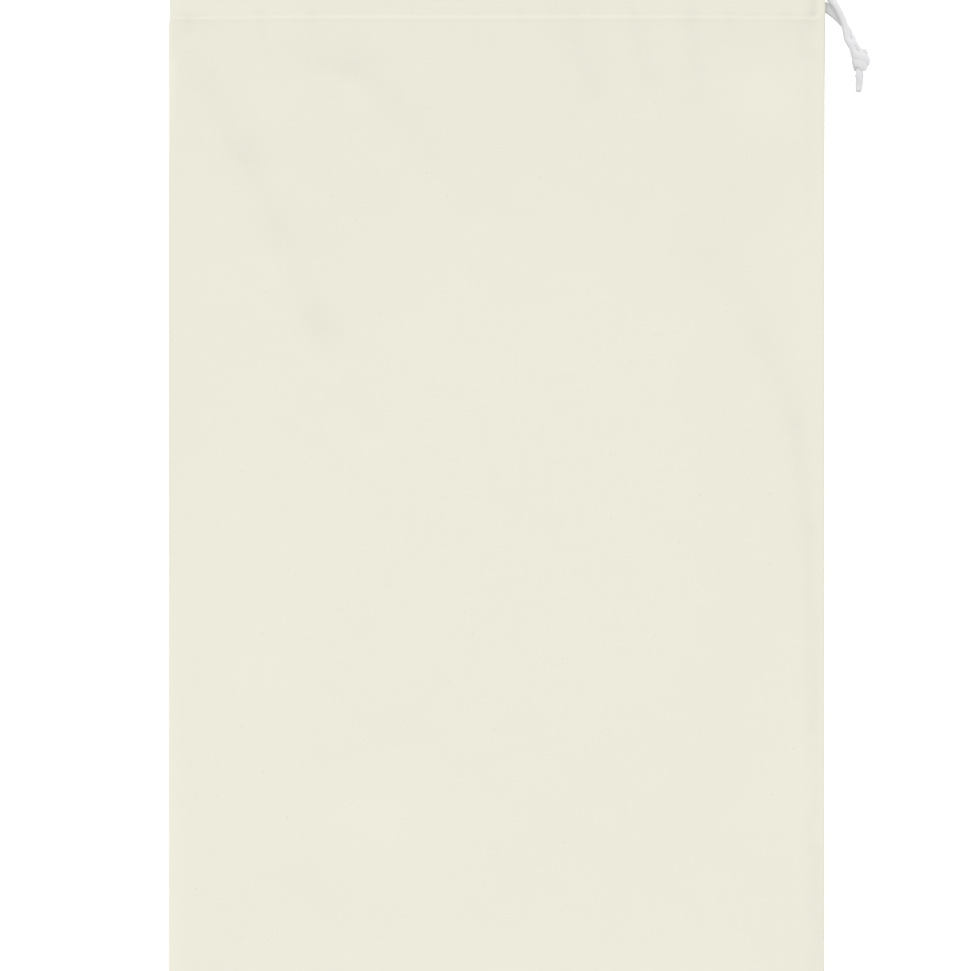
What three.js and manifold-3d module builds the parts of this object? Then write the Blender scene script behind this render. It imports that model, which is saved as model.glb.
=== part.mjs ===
// A cotton drawstring bag lying flat on its back panel, front panel up, mouth towards +Y.
// Millimetres, +Z up. The origin is the middle of the bag's underside.

import * as THREE from 'three';
import { mergeVertices } from 'three/addons/utils/BufferGeometryUtils.js';
import Module from 'manifold-3d';

const wasm = await Module();
wasm.setup();

// Driving dimensions
const BAG_WIDTH = 300;
const BAG_LENGTH = 470;
const CHANNEL_HEIGHT = 20;
const CORD_DIAMETER = 3.2;
const SHEET = 1;
const GAP = 0.3;
const BODY_TOP = 7.6;
const MOUTH_GAPE = 4.3;

// Places across and along the bag
const HALF_WIDTH = BAG_WIDTH / 2;
const MOUTH_Y = BAG_LENGTH / 2;
const BOTTOM_Y = -BAG_LENGTH / 2;
const SEAM_Y = MOUTH_Y - CHANNEL_HEIGHT;
const HEM_EDGE_Y = SEAM_Y - 2;
const SHOULDER_START_Y = HEM_EDGE_Y + 3;
const CHANNEL_LOW_Y = SEAM_Y + 1.5;
const CHANNEL_HIGH_Y = MOUTH_Y - 2.5;
const CHANNEL_END_X = -HALF_WIDTH + 13;
const BACK_HEM_END_X = CHANNEL_END_X + GAP;
const RUN_END_X = HALF_WIDTH - 4;
const BEYOND = 1;
const BELOW_ALL = -5;
const EDGE_STEP = 0.05;

// Heights of the cloth, built up from its thickness and the cord's
const CORD_RADIUS = CORD_DIAMETER / 2;
const HEM_FLAT = 2 * SHEET + GAP;
const HEM_FULL = 2 * SHEET + 2 * GAP + CORD_DIAMETER;
const CORD_DEPTH = SHEET + GAP + CORD_RADIUS;
const SEAM_UNDER = SHEET + GAP;
const SEAM_TOP = SEAM_UNDER + SHEET;
const HEM_END_TOP = HEM_FULL + GAP + HEM_FLAT;
const HEM_MIDDLE_TOP = HEM_FULL + MOUTH_GAPE + HEM_FULL;

// How far each change of height reaches
const SIDE_FLAT = 7;
const SIDE_RISE = 72;
const BOTTOM_RISE = 150;
const MOUTH_FLAT_X = 80;
const MOUTH_CLOSED_X = HALF_WIDTH - 4;
const LEAST_FULLNESS = 0.45;
const SHOULDER_MIDDLE = 150;
const SHOULDER_SIDE = 95;
const SHOULDER_CHANGE = 70;
const CORD_BULGE = 5.5;
const ROLL_REACH = 4;
const ROLL_DROP = 1.3;
const LEFT_ROLL = 6;
const LOOP_SETBACK = 2.4;
const STITCH_DIP = 0.45;
const STITCH_REACH = 1.2;
const HEM_PINCH = 0.4;
const DRIFT = { height: 0.25, waveX: 31, waveY: 43 };

// Where the cord runs in each half of the channel
const FRONT_RUN = { leftY: 228.6, middleY: 226.5, rightY: 225.3 };
const BACK_RUN = { leftY: 219.2, middleY: 220, rightY: 219.6 };
const RUN_CHANGE_LEFT = 80;
const RUN_CHANGE_RIGHT = 35;

// Soft troughs of the front panel: each a line with its reach to each side and its depth
const TROUGHS = [
  { fromX: -141, fromY: 198, toX: -115, toY: 145, reach: 12, depth: 0.85 },
  { fromX: -115, fromY: 145, toX: -101, toY: 110, reach: 11, depth: 0.9 },
  { fromX: -101, fromY: 110, toX: -79, toY: 67, reach: 10, depth: 0.7 },
  { fromX: -79, fromY: 67, toX: -58, toY: 26, reach: 10, depth: 0.55 },
  { fromX: -94, fromY: 193, toX: -64, toY: 186, reach: 11, depth: 0.7 },
  { fromX: -64, fromY: 186, toX: -45, toY: 165, reach: 11, depth: 0.65 },
  { fromX: -45, fromY: 165, toX: -15, toY: 125, reach: 12, depth: 0.55 },
  { fromX: 33, fromY: 206, toX: 45, toY: 177, reach: 10, depth: 0.75 },
  { fromX: 64, fromY: 206, toX: 72, toY: 179, reach: 9, depth: 0.5 },
  { fromX: 89, fromY: 208, toX: 93, toY: 176, reach: 9, depth: 0.5 },
  { fromX: 97, fromY: 98, toX: 125, toY: 64, reach: 13, depth: 0.6 },
  { fromX: 125, fromY: 64, toX: 138, toY: 24, reach: 11, depth: 0.75 },
  { fromX: 138, fromY: 24, toX: 143, toY: -60, reach: 9, depth: 0.7 },
  { fromX: -92, fromY: -183, toX: -80, toY: -196, reach: 13, depth: 0.5 },
];

// Pinches beside the channel's two ends, where stitching holds the cloth down
const PINCHES = [
  { x: -137, y: 210, reach: 7, depth: 0.7 },
  { x: 144.8, y: 209, reach: 6, depth: 0.6 },
];

// The drawstring's free strands, from just inside the channel's right end to the knot
const FRONT_STRAND = [
  [146.3, 225.3, 5.5], [148.5, 225.3, 5.5], [150.8, 224.9, 5.5], [152.7, 223, 5.6],
  [154.3, 220.6, 5.8], [155.8, 218.1, 5.75], [157.1, 215.6, 5.6], [158.1, 213.3, 5.5],
  [158.8, 211.1, 5.45], [159.3, 208.8, 5.5], [159.7, 206.5, 5.7], [160.2, 204.2, 5.95],
];
const BACK_STRAND = [
  [146.3, 219.6, 2.9], [148.5, 219.6, 2.9], [150.5, 219.3, 2.8], [152.5, 217.8, 2.4],
  [154.4, 215.8, 2], [156.3, 213.8, 1.75], [158.2, 211.8, 1.65], [159.9, 209.9, 1.65],
  [161.2, 208, 1.85], [162.1, 206.1, 2.4], [162.8, 204.3, 3.05],
];

// The overhand knot tied in both strands: how it lies, its strands and their turns
const KNOT = {
  centre: new THREE.Vector3(166.3, 195.1, 4.95),
  coreShift: -0.65,
  lean: 0.6,
  leanStart: 2,
  strand: 1.45,
  core: 1.35,
  mouth: 1.8,
  wrap: 3.3,
  pitch: 2.05,
  reach: 1.2,
  bulge: 1.85,
  half: 6.2,
  packedRadius: 4.3,
  packedHalf: 4.7,
  startAngle: 135,
  twist: 60,
  turnAngle: 100,
  wholeAngle: 505,
};

// The tails past the knot, the back strand's lying on the front strand's
const TAIL_FRONT = [[165.9, 186.4, 2.6], [165.9, 184.8, 1.95], [165.8, 183.4, 1.7], [165.7, 182, 1.65]];
const TAIL_BACK = [[165.4, 186.4, 6.3], [165.3, 184.5, 5.6], [165.3, 182.7, 5.25], [165.3, 180.9, 5.15]];

const { clamp, smoothstep, degToRad } = THREE.MathUtils;

// A closed solid between two height functions, on the same stations across and along
function heightSolid(xs, ys, topAt, underAt) {
  const positions = [];
  for (const heightAt of [topAt, underAt]) {
    for (const y of ys) {
      for (const x of xs) {
        positions.push(x, y, heightAt(x, y));
      }
    }
  }
  const layer = xs.length * ys.length;
  const at = (column, row, level) => level * layer + row * xs.length + column;
  const index = [];
  const quad = (a, b, c, d) => index.push(a, b, c, a, c, d);
  for (let row = 0; row < ys.length - 1; row += 1) {
    for (let column = 0; column < xs.length - 1; column += 1) {
      const right = column + 1;
      const up = row + 1;
      quad(at(column, row, 0), at(right, row, 0), at(right, up, 0), at(column, up, 0));
      quad(at(column, row, 1), at(column, up, 1), at(right, up, 1), at(right, row, 1));
    }
  }
  const wall = (c0, r0, c1, r1) => quad(at(c0, r0, 1), at(c1, r1, 1), at(c1, r1, 0), at(c0, r0, 0));
  const lastColumn = xs.length - 1;
  const lastRow = ys.length - 1;
  for (let column = 0; column < lastColumn; column += 1) {
    wall(column, 0, column + 1, 0);
    wall(column + 1, lastRow, column, lastRow);
  }
  for (let row = 0; row < lastRow; row += 1) {
    wall(lastColumn, row, lastColumn, row + 1);
    wall(0, row + 1, 0, row);
  }
  const geometry = new THREE.BufferGeometry();
  geometry.setAttribute('position', new THREE.Float32BufferAttribute(positions, 3));
  geometry.setIndex(index);
  return geometry;
}

// Turns a closed geometry into a solid that can be joined and cut
function toSolid(geometry) {
  const bare = geometry.clone();
  bare.deleteAttribute('normal');
  bare.deleteAttribute('uv');
  const merged = mergeVertices(bare, 1e-4);
  return new wasm.Manifold(new wasm.Mesh({
    numProp: 3,
    vertProperties: new Float32Array(merged.attributes.position.array),
    triVerts: new Uint32Array(merged.index.array),
  }));
}

// Turns a joined or cut solid back into a geometry
function toGeometry(solid) {
  const mesh = solid.getMesh();
  const geometry = new THREE.BufferGeometry();
  geometry.setAttribute('position', new THREE.BufferAttribute(new Float32Array(mesh.vertProperties), 3));
  geometry.setIndex(new THREE.BufferAttribute(new Uint32Array(mesh.triVerts), 1));
  geometry.computeVertexNormals();
  return geometry;
}

// Evenly spaced stations from one value to another, both included
function spread(from, to, count) {
  return Array.from({ length: count }, (_, i) => from + ((to - from) * i) / (count - 1));
}

// The cord's place along Y in one half of the channel
function cordY(run, x) {
  const right = smoothstep(x, HALF_WIDTH - RUN_CHANGE_RIGHT, HALF_WIDTH);
  const left = 1 - smoothstep(x, CHANNEL_END_X, CHANNEL_END_X + RUN_CHANGE_LEFT);
  return run.middleY + (run.rightY - run.middleY) * right + (run.leftY - run.middleY) * left;
}

// How deep the hem is from its outer face to its inner one, fuller round the cord
function hemDepth(run, x, y) {
  const away = clamp(Math.abs(y - cordY(run, x)) / CORD_BULGE, 0, 1);
  return HEM_FLAT + (HEM_FULL - HEM_FLAT) * Math.cos((away * Math.PI) / 2) ** 2;
}

// How far a point lies below the smooth cloth, from all the troughs and pinches
function troughDepth(x, y) {
  let depth = 0;
  for (const { fromX, fromY, toX, toY, reach, depth: deepest } of TROUGHS) {
    const dx = toX - fromX;
    const dy = toY - fromY;
    const along = clamp(((x - fromX) * dx + (y - fromY) * dy) / (dx * dx + dy * dy), 0, 1);
    const away = Math.hypot(x - fromX - along * dx, y - fromY - along * dy);
    depth += deepest * Math.exp(-((away / reach) ** 2));
  }
  for (const { x: atX, y: atY, reach, depth: deepest } of PINCHES) {
    depth += deepest * Math.exp(-((Math.hypot(x - atX, y - atY) / reach) ** 2));
  }
  return depth;
}

// The front panel's upper face over the body, lying on what is under it
function bodyTop(x, y) {
  const side = smoothstep(HALF_WIDTH - Math.abs(x), SIDE_FLAT, SIDE_RISE);
  const bottom = smoothstep(y - BOTTOM_Y, SIDE_FLAT, BOTTOM_RISE);
  const drift = DRIFT.height * Math.sin(x / DRIFT.waveX + 1) * Math.sin(y / DRIFT.waveY + 0.6);
  const fullness = side * bottom;
  const trough = troughDepth(x, y) / Math.max(fullness, LEAST_FULLNESS);
  return SEAM_TOP + fullness * (BODY_TOP - SEAM_TOP + drift - trough);
}

// The front hem's upper face, highest over the open middle of the mouth
function hemTop(x) {
  const open = 1 - smoothstep(Math.abs(x), MOUTH_FLAT_X, MOUTH_CLOSED_X);
  return HEM_END_TOP + (HEM_MIDDLE_TOP - HEM_END_TOP) * open;
}

// A quarter ellipse falling from 1 to 0 as value goes from 0 to reach
function quarter(value, reach) {
  const t = clamp(value / reach, 0, 1);
  return Math.sqrt(1 - t * t);
}

// How far the folded edge at the mouth has rolled down
function mouthRoll(y) {
  return ROLL_DROP * (1 - quarter(y - (MOUTH_Y - ROLL_REACH), ROLL_REACH));
}

// The front hem's upper face with its left end rolled down round the cord
function hemTopRolled(x, inset) {
  const fall = quarter(-HALF_WIDTH + LEFT_ROLL - x, LEFT_ROLL - inset);
  return SEAM_TOP + (hemTop(x) - inset - SEAM_TOP) * fall;
}

// The front panel's upper face
function frontTop(x, y) {
  const inside = smoothstep(HALF_WIDTH - Math.abs(x), 0, SHOULDER_CHANGE);
  const shoulder = SHOULDER_SIDE + (SHOULDER_MIDDLE - SHOULDER_SIDE) * inside;
  const hem = (1 - clamp((SHOULDER_START_Y - y) / shoulder, 0, 1)) ** 2;
  const body = bodyTop(x, y);
  const stitch = STITCH_DIP * Math.exp(-(((y - SEAM_Y) / STITCH_REACH) ** 2));
  const pinch = HEM_PINCH * troughDepth(x, y);
  return body + (hemTopRolled(x, 0) - body - stitch - pinch) * hem - mouthRoll(y);
}

// The front panel's lower face: one sheet over the body, the hem's inner layer at the mouth
function frontUnder(x, y) {
  if (y > HEM_EDGE_Y) {
    if (x < CHANNEL_END_X) return SEAM_UNDER;
    return hemTop(x) - hemDepth(FRONT_RUN, x, y);
  }
  const step = 0.5;
  const slopeX = (frontTop(x + step, y) - frontTop(x - step, y)) / (2 * step);
  const slopeY = (frontTop(x, y + step) - frontTop(x, y - step)) / (2 * step);
  const upright = SHEET * Math.sqrt(1 + slopeX ** 2 + slopeY ** 2);
  return Math.max(frontTop(x, y) - upright, SEAM_UNDER);
}

// Stations across the bag: close at the left roll, the channel's ends and the right edge
const ROLL_XS = [0, 0.6, 1.8, 3.6, 6, 9.5].map((inset) => inset - HALF_WIDTH);
const LEFT_XS = [...ROLL_XS, CHANNEL_END_X - EDGE_STEP, CHANNEL_END_X + EDGE_STEP];
const RIGHT_XS = [12, 7.6, 5.2, 2.6, 0].map((inset) => HALF_WIDTH - inset);
const MIDDLE_XS = spread(-127, 127, 22);
const PANEL_XS = [...LEFT_XS, ...MIDDLE_XS, ...RIGHT_XS];
const CHANNEL_XS = [CHANNEL_END_X, ...MIDDLE_XS, 133, 138, 142.4, RUN_END_X];
const POCKET_XS = [SHEET, 1.8, 3.6, 6, 9.5, 13.2].map((inset) => inset - HALF_WIDTH);

// Stations along the bag: close at the bottom seam, the stitching and round the cord
const BOTTOM_YS = [0, 1.5, 5, 10, 17, 26].map((inset) => BOTTOM_Y + inset);
const SHOULDER_YS = [24, 16, 10, 5.5, 2.5, EDGE_STEP].map((inset) => HEM_EDGE_Y - inset);
const HEM_YS = [EDGE_STEP, 1.2, 2, 2.8, 4.4, 6, 7.6, 9.2, 10.8, 12.4, 14, 15.6, 17.2, 18.4, 19.6, 20.8, 22]
  .map((inset) => HEM_EDGE_Y + inset);
const BODY_YS = spread(BOTTOM_Y + 38, HEM_EDGE_Y - 34, 30);
const PANEL_YS = [...BOTTOM_YS, ...BODY_YS, ...SHOULDER_YS, ...HEM_YS];
const FRONT_CHANNEL_YS = [0, 2, 4, 5.4, 6.6, 7.6, 8.6, 9.6, 10.6, 11.6, 12.6, 13.6, 14.8, 16]
  .map((inset) => CHANNEL_LOW_Y + inset);
const BACK_CHANNEL_YS = [0, 0.9, 1.8, 2.7, 3.6, 4.5, 5.6, 7, 9, 12, 14, 16]
  .map((inset) => CHANNEL_LOW_Y + inset);

// The front panel: its sheet, its hem, and the channel and left pocket cut through the hem
function frontPanel() {
  const below = () => BELOW_ALL;
  const wellBelow = () => 2 * BELOW_ALL;
  const widerXs = [-HALF_WIDTH - BEYOND, ...PANEL_XS, HALF_WIDTH + BEYOND];
  const longerYs = [BOTTOM_Y - BEYOND, ...PANEL_YS, MOUTH_Y + BEYOND];
  const cloth = toSolid(heightSolid(PANEL_XS, PANEL_YS, frontTop, below));
  const air = toSolid(heightSolid(widerXs, longerYs, frontUnder, wellBelow));
  const channel = toSolid(heightSolid(
    [...CHANNEL_XS, HALF_WIDTH + BEYOND],
    FRONT_CHANNEL_YS,
    (x, y) => Math.min(hemTop(x), frontTop(Math.min(x, HALF_WIDTH), y)) - SHEET,
    (x, y) => hemTop(x) - hemDepth(FRONT_RUN, x, y) + SHEET,
  ));
  const pocket = toSolid(heightSolid(
    POCKET_XS,
    [CHANNEL_LOW_Y, CHANNEL_HIGH_Y],
    (x) => hemTopRolled(x, SHEET) - mouthRoll(CHANNEL_HIGH_Y),
    below,
  ));
  return toGeometry(cloth.subtract(air).subtract(channel).subtract(pocket));
}

// The back hem's depth with its folded edge rolled
function backHem(x, y) {
  return hemDepth(BACK_RUN, x, y) - mouthRoll(y) / 2;
}

// The back panel: a flat sheet with its hem folded up and in, and the channel cut through it
function backPanel() {
  const hemXs = [...spread(-127, -87, 4), 0, 115, 127, 136, 143, HALF_WIDTH];
  const ys = [BOTTOM_Y, HEM_EDGE_Y - EDGE_STEP, ...HEM_YS];
  const cloth = toSolid(heightSolid(
    [-HALF_WIDTH, BACK_HEM_END_X - EDGE_STEP, BACK_HEM_END_X + EDGE_STEP, ...hemXs],
    ys,
    (x, y) => (y < HEM_EDGE_Y || x < BACK_HEM_END_X ? SHEET : backHem(x, y)),
    () => 0,
  ));
  const channel = toSolid(heightSolid(
    [CHANNEL_END_X - BEYOND, ...hemXs, HALF_WIDTH + BEYOND],
    BACK_CHANNEL_YS,
    (x, y) => backHem(x, y) - SHEET,
    () => SHEET,
  ));
  return toGeometry(cloth.subtract(channel));
}

// A curve through its points whose steps follow them, so bends can have more
class CordCurve extends THREE.CatmullRomCurve3 {
  getPointAt(u, target) {
    return this.getPoint(u, target);
  }

  getTangentAt(u, target) {
    return this.getTangent(u, target);
  }
}

// A closed tube along points, eight sided
function cordTube(points, radius, stepsPerPoint = 1) {
  const outline = new THREE.Shape();
  for (let side = 0; side < 8; side += 1) {
    const angle = ((side + 0.5) * Math.PI) / 4;
    const x = radius * Math.cos(angle);
    const y = radius * Math.sin(angle);
    if (side === 0) outline.moveTo(x, y);
    else outline.lineTo(x, y);
  }
  outline.closePath();
  const path = new CordCurve(points, false, 'centripetal');
  return new THREE.ExtrudeGeometry(outline, {
    extrudePath: path,
    steps: (points.length - 1) * stepsPerPoint,
    bevelEnabled: false,
  });
}

// The drawstring's stretch in the channel: along the front, round the left end, back along the back
function channelRun() {
  const front = [...CHANNEL_XS].reverse().map((x) => {
    return new THREE.Vector3(x, cordY(FRONT_RUN, x), hemTop(x) - CORD_DEPTH);
  });
  const back = CHANNEL_XS.map((x) => {
    return new THREE.Vector3(x, cordY(BACK_RUN, x), CORD_DEPTH);
  });
  const start = front[front.length - 1];
  const end = back[0];
  const radius = (start.y - end.y) / 2;
  const middle = start.clone().add(end).multiplyScalar(0.5);
  middle.x -= LOOP_SETBACK;
  const loop = spread(0, Math.PI, 9).map((angle) => new THREE.Vector3(
    middle.x - radius * Math.sin(angle),
    middle.y + radius * Math.cos(angle),
    middle.z + ((start.z - end.z) / 2) * Math.cos(angle),
  ));
  return [...front, ...loop, ...back];
}

// A point of the knot, from its distance along the knot, its radius and its angle round it.
// The core leans towards the strands where they come in, and what is outward of it less so.
function knotPoint(along, radius, degrees, outward = 0) {
  const angle = degToRad(degrees);
  const past = along + KNOT.leanStart;
  const across = KNOT.coreShift * (1 - outward) + (KNOT.lean / 2) * (past - Math.hypot(past, 1));
  const around = new THREE.Vector3(radius * Math.cos(angle) + across, -along, radius * Math.sin(angle));
  return around.add(KNOT.centre);
}

// How far out of the knot's middle a strand of its core lies
function coreRadius(along) {
  return KNOT.core + (KNOT.mouth - KNOT.core) * smoothstep(Math.abs(along), KNOT.reach, KNOT.half);
}

// A turn between the core and the wraps, on one side of the knot
function knotTurn(side, angleAt) {
  const { core, wrap, pitch, reach, bulge } = KNOT;
  return [0.25, 0.5, 0.75].map((part) => {
    const outward = smoothstep(part, 0, 1);
    const along = reach + (pitch - reach) * part + bulge * Math.sin(Math.PI * part);
    return knotPoint(side * along, core + (wrap - core) * outward, angleAt(part), outward);
  });
}

// One strand's way through the knot: in along the core, out and once round, in again and out
function knotStrand(start) {
  const { wrap, pitch, reach, half, twist, turnAngle, wholeAngle } = KNOT;
  const perLength = twist / (2 * half);
  const finish = start + wholeAngle;
  const going = start + perLength * (half + reach);
  const coming = finish - perLength * (half + reach);
  const wound = coming - going - 2 * turnAngle;
  const inward = spread(-half, reach, 5).map((along) => {
    return knotPoint(along, coreRadius(along), start + perLength * (half + along));
  });
  const round = spread(0, 1, 13).map((share) => {
    return knotPoint(pitch * (1 - 2 * share), wrap, going + turnAngle + wound * share, 1);
  });
  const outward = spread(-reach, half, 5).map((along) => {
    return knotPoint(along, coreRadius(along), finish - perLength * (half - along));
  });
  const leaving = knotTurn(1, (part) => going + turnAngle * part);
  const returning = knotTurn(-1, (part) => coming - turnAngle * part).reverse();
  return [...inward, ...leaving, ...round, ...returning, ...outward];
}

// The knot: both strands pulled tight together, with no hollow left between them
function knot() {
  const front = toSolid(cordTube(knotStrand(KNOT.startAngle), KNOT.strand));
  const back = toSolid(cordTube(knotStrand(KNOT.startAngle + 180), KNOT.strand));
  const packed = new THREE.SphereGeometry(1, 12, 8);
  packed.scale(KNOT.packedRadius, KNOT.packedHalf, KNOT.packedRadius);
  packed.translate(KNOT.centre.x, KNOT.centre.y, KNOT.centre.z);
  return toGeometry(front.add(back).add(toSolid(packed)));
}

// The two points where a strand meets the knot, in line with it and just clear of it
function knotMeeting(side, angle) {
  const perLength = KNOT.twist / (2 * KNOT.half);
  return [1.5 * GAP, 4.5 * GAP].map((away) => {
    return knotPoint(side * (KNOT.half + away), KNOT.mouth, angle + side * perLength * away);
  });
}

// A strand from the points of its route, ending square on the knot
function freeStrand(route, angle) {
  const points = route.map(([x, y, z]) => new THREE.Vector3(x, y, z));
  return cordTube([...points, ...knotMeeting(-1, angle).reverse()], CORD_RADIUS);
}

// A tail from where it leaves the knot through the points of its route
function tail(route, angle) {
  const points = route.map(([x, y, z]) => new THREE.Vector3(x, y, z));
  return cordTube([...knotMeeting(1, angle), ...points], CORD_RADIUS);
}

// Where each strand enters the knot
const FRONT_ANGLE = KNOT.startAngle;
const BACK_ANGLE = KNOT.startAngle + 180;

// Materials
const CLOTH = { color: 0xecead9, roughness: 0.95, metalness: 0 };
const CORD = { color: 0xf0f0f2, roughness: 0.9, metalness: 0 };

const group = new THREE.Group();

// Adds one named piece with a material of its own
function addPiece(name, geometry, finish) {
  const piece = new THREE.Mesh(geometry, new THREE.MeshStandardMaterial(finish));
  piece.name = name;
  group.add(piece);
}

addPiece('front_panel', frontPanel(), CLOTH);
addPiece('back_panel', backPanel(), CLOTH);
addPiece('drawstring', cordTube(channelRun(), CORD_RADIUS), CORD);
addPiece('strand_front', freeStrand(FRONT_STRAND, FRONT_ANGLE), CORD);
addPiece('strand_back', freeStrand(BACK_STRAND, BACK_ANGLE), CORD);
addPiece('knot', knot(), CORD);
addPiece('tail_front', tail(TAIL_FRONT, FRONT_ANGLE + KNOT.wholeAngle), CORD);
addPiece('tail_back', tail(TAIL_BACK, BACK_ANGLE + KNOT.wholeAngle), CORD);

export default group;
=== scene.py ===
"""Looks of a cotton drawstring gift bag that lies flat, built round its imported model.

Sizes inside the classes are in millimetres, as a maker would give them, and
become metres when a mesh is made. The bag lies on its back panel, front panel
up and mouth towards +Y.
"""

import logging
import math
from collections.abc import Callable
from dataclasses import dataclass, field
from enum import Enum

import bmesh
import bpy
import numpy as np
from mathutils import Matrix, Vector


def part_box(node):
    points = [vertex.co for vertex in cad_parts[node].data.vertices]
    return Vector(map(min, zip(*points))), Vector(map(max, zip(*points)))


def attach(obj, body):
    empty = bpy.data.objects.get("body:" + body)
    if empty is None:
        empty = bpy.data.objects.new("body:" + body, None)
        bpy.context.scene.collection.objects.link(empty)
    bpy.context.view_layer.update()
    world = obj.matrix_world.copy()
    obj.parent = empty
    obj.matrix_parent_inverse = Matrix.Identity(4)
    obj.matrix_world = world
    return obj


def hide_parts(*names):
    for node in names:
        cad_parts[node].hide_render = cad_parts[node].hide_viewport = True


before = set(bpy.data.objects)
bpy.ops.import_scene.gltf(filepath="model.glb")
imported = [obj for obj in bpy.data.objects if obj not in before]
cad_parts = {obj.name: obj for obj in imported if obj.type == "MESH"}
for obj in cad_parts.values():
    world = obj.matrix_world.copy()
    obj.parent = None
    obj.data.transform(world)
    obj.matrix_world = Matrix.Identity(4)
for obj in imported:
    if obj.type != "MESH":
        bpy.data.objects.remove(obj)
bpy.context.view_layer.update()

log = logging.getLogger("gift_bag")

Array = np.ndarray
Colour = tuple[float, float, float, float]
MM = 0.001
UP = (0.0, 0.0, 1.0)
IMAGE_WIDTH = 970


def smooth(value: Array, low: float, high: float) -> Array:
    """Rise softly from 0 to 1 as a value goes from low to high, which may be the smaller one."""
    share = np.clip((value - low) / (high - low), 0.0, 1.0)
    return share * share * (3.0 - 2.0 * share)


def ease(value: Array, reach: Array) -> Array:
    """Fall from 1 to 0 over a reach, fast at first and softly at the end."""
    return (1.0 - np.clip(value / reach, 0.0, 1.0)) ** 2


def bump(value: Array, reach: float) -> Array:
    """Return a soft bell that is 1 at 0 and nearly 0 at twice the reach."""
    return np.exp(-((value / reach) ** 2))


def quarter(value: Array, reach: float) -> Array:
    """Fall from 1 to 0 over a reach, along a quarter of an ellipse."""
    share = np.clip(value / reach, 0.0, 1.0)
    return np.sqrt(1.0 - share * share)


def between(first: object, second: object, share: object) -> Array:
    """Return what lies a share of the way from a first value to a second one."""
    return first + (second - first) * share


def unit(vectors: Array) -> Array:
    """Return vectors made 1 long, each along the last axis."""
    return vectors / np.linalg.norm(vectors, axis=-1, keepdims=True)


def joined(x: object, y: object, z: object) -> Array:
    """Join places across, along and up into points; any of them may be one number for all."""
    return np.stack(np.broadcast_arrays(x, y, z), axis=-1)


def distances(line: Array) -> Array:
    """Return how far each point of a line is from its start, measured along it."""
    steps = np.linalg.norm(np.diff(line[:, :3], axis=0), axis=1)
    return np.concatenate([[0.0], np.cumsum(steps)])


def quads(number: Array) -> list[list[int]]:
    """Return the faces between neighbouring rows and columns of a grid of vertex numbers."""
    corners = (number[:-1, :-1], number[:-1, 1:], number[1:, 1:], number[1:, :-1])
    return np.stack(corners, axis=2).reshape(-1, 4).tolist()


def stations(*spans: tuple[float, float, float]) -> Array:
    """Lay out stations over spans that follow one another.

    Args:
        *spans: For each span its start, its end and the wanted step.

    Returns:
        The stations, with no station twice.
    """
    found = []
    for start, end, step in spans:
        count = max(1, round(abs(end - start) / step))
        found.extend(np.linspace(start, end, count + 1)[:-1])
    found.append(spans[-1][1])
    return np.array(found)


def deselect_all() -> None:
    """Leave no object selected, so that an operator acts on its own piece alone."""
    if bpy.context.mode != "OBJECT":
        bpy.ops.object.mode_set(mode="OBJECT")
    bpy.ops.object.select_all(action="DESELECT")


def mesh_object(name: str, points: Array, faces: list, flat: Array) -> bpy.types.Object:
    """Make a mesh piece from points in millimetres.

    Args:
        name: The piece's name.
        points: The vertices, in millimetres.
        faces: The faces, each a run of vertex numbers.
        flat: For each vertex its place on the piece's own flat pattern, in metres.

    Returns:
        The piece, smooth shaded, with its faces outwards and a UV map of the pattern.
    """
    mesh = bpy.data.meshes.new(name)
    mesh.from_pydata((points * MM).tolist(), [], faces)
    shell = bmesh.new()
    shell.from_mesh(mesh)
    bmesh.ops.recalc_face_normals(shell, faces=shell.faces)
    shell.to_mesh(mesh)
    shell.free()
    corners = np.empty(len(mesh.loops), dtype=np.int32)
    mesh.loops.foreach_get("vertex_index", corners)
    layer = mesh.uv_layers.new(name="pattern")
    layer.data.foreach_set("uv", flat[corners].astype(np.float32).ravel())
    mesh.shade_smooth()
    piece = bpy.data.objects.new(name, mesh)
    bpy.context.scene.collection.objects.link(piece)
    return piece


def paint(piece: bpy.types.Object, name: str, values: Array) -> None:
    """Give each vertex of a piece a number that its material reads by the attribute's name."""
    attribute = piece.data.attributes.new(name, "FLOAT", "POINT")
    attribute.data.foreach_set("value", np.asarray(values, dtype=np.float32))


class Side(Enum):
    """Which of the bag's two panels something belongs to."""

    FRONT = "front"
    BACK = "back"


@dataclass(frozen=True)
class Trough:
    """A soft fold pressed into the front panel along a line.

    Attributes:
        start: Where it starts, across and along the bag.
        end: Where it ends.
        reach: How far it spreads to each side.
        depth: How deep it is; a ridge has a depth below zero.
        painted_shade: How much shade is painted into the cloth along it, from 0 to 1.
    """

    start: tuple[float, float]
    end: tuple[float, float]
    reach: float
    depth: float
    painted_shade: float = 0.0

    def share(self, x: Array, y: Array) -> Array:
        """Work out how far points are in the fold.

        Args:
            x: Their places across the bag.
            y: Their places along it.

        Returns:
            For each point a share, from 0 outside the fold to 1 on its line.
        """
        dx = self.end[0] - self.start[0]
        dy = self.end[1] - self.start[1]
        along = ((x - self.start[0]) * dx + (y - self.start[1]) * dy) / (dx * dx + dy * dy)
        along = np.clip(along, 0.0, 1.0)
        away = np.hypot(x - self.start[0] - along * dx, y - self.start[1] - along * dy)
        return bump(away, self.reach)


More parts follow.
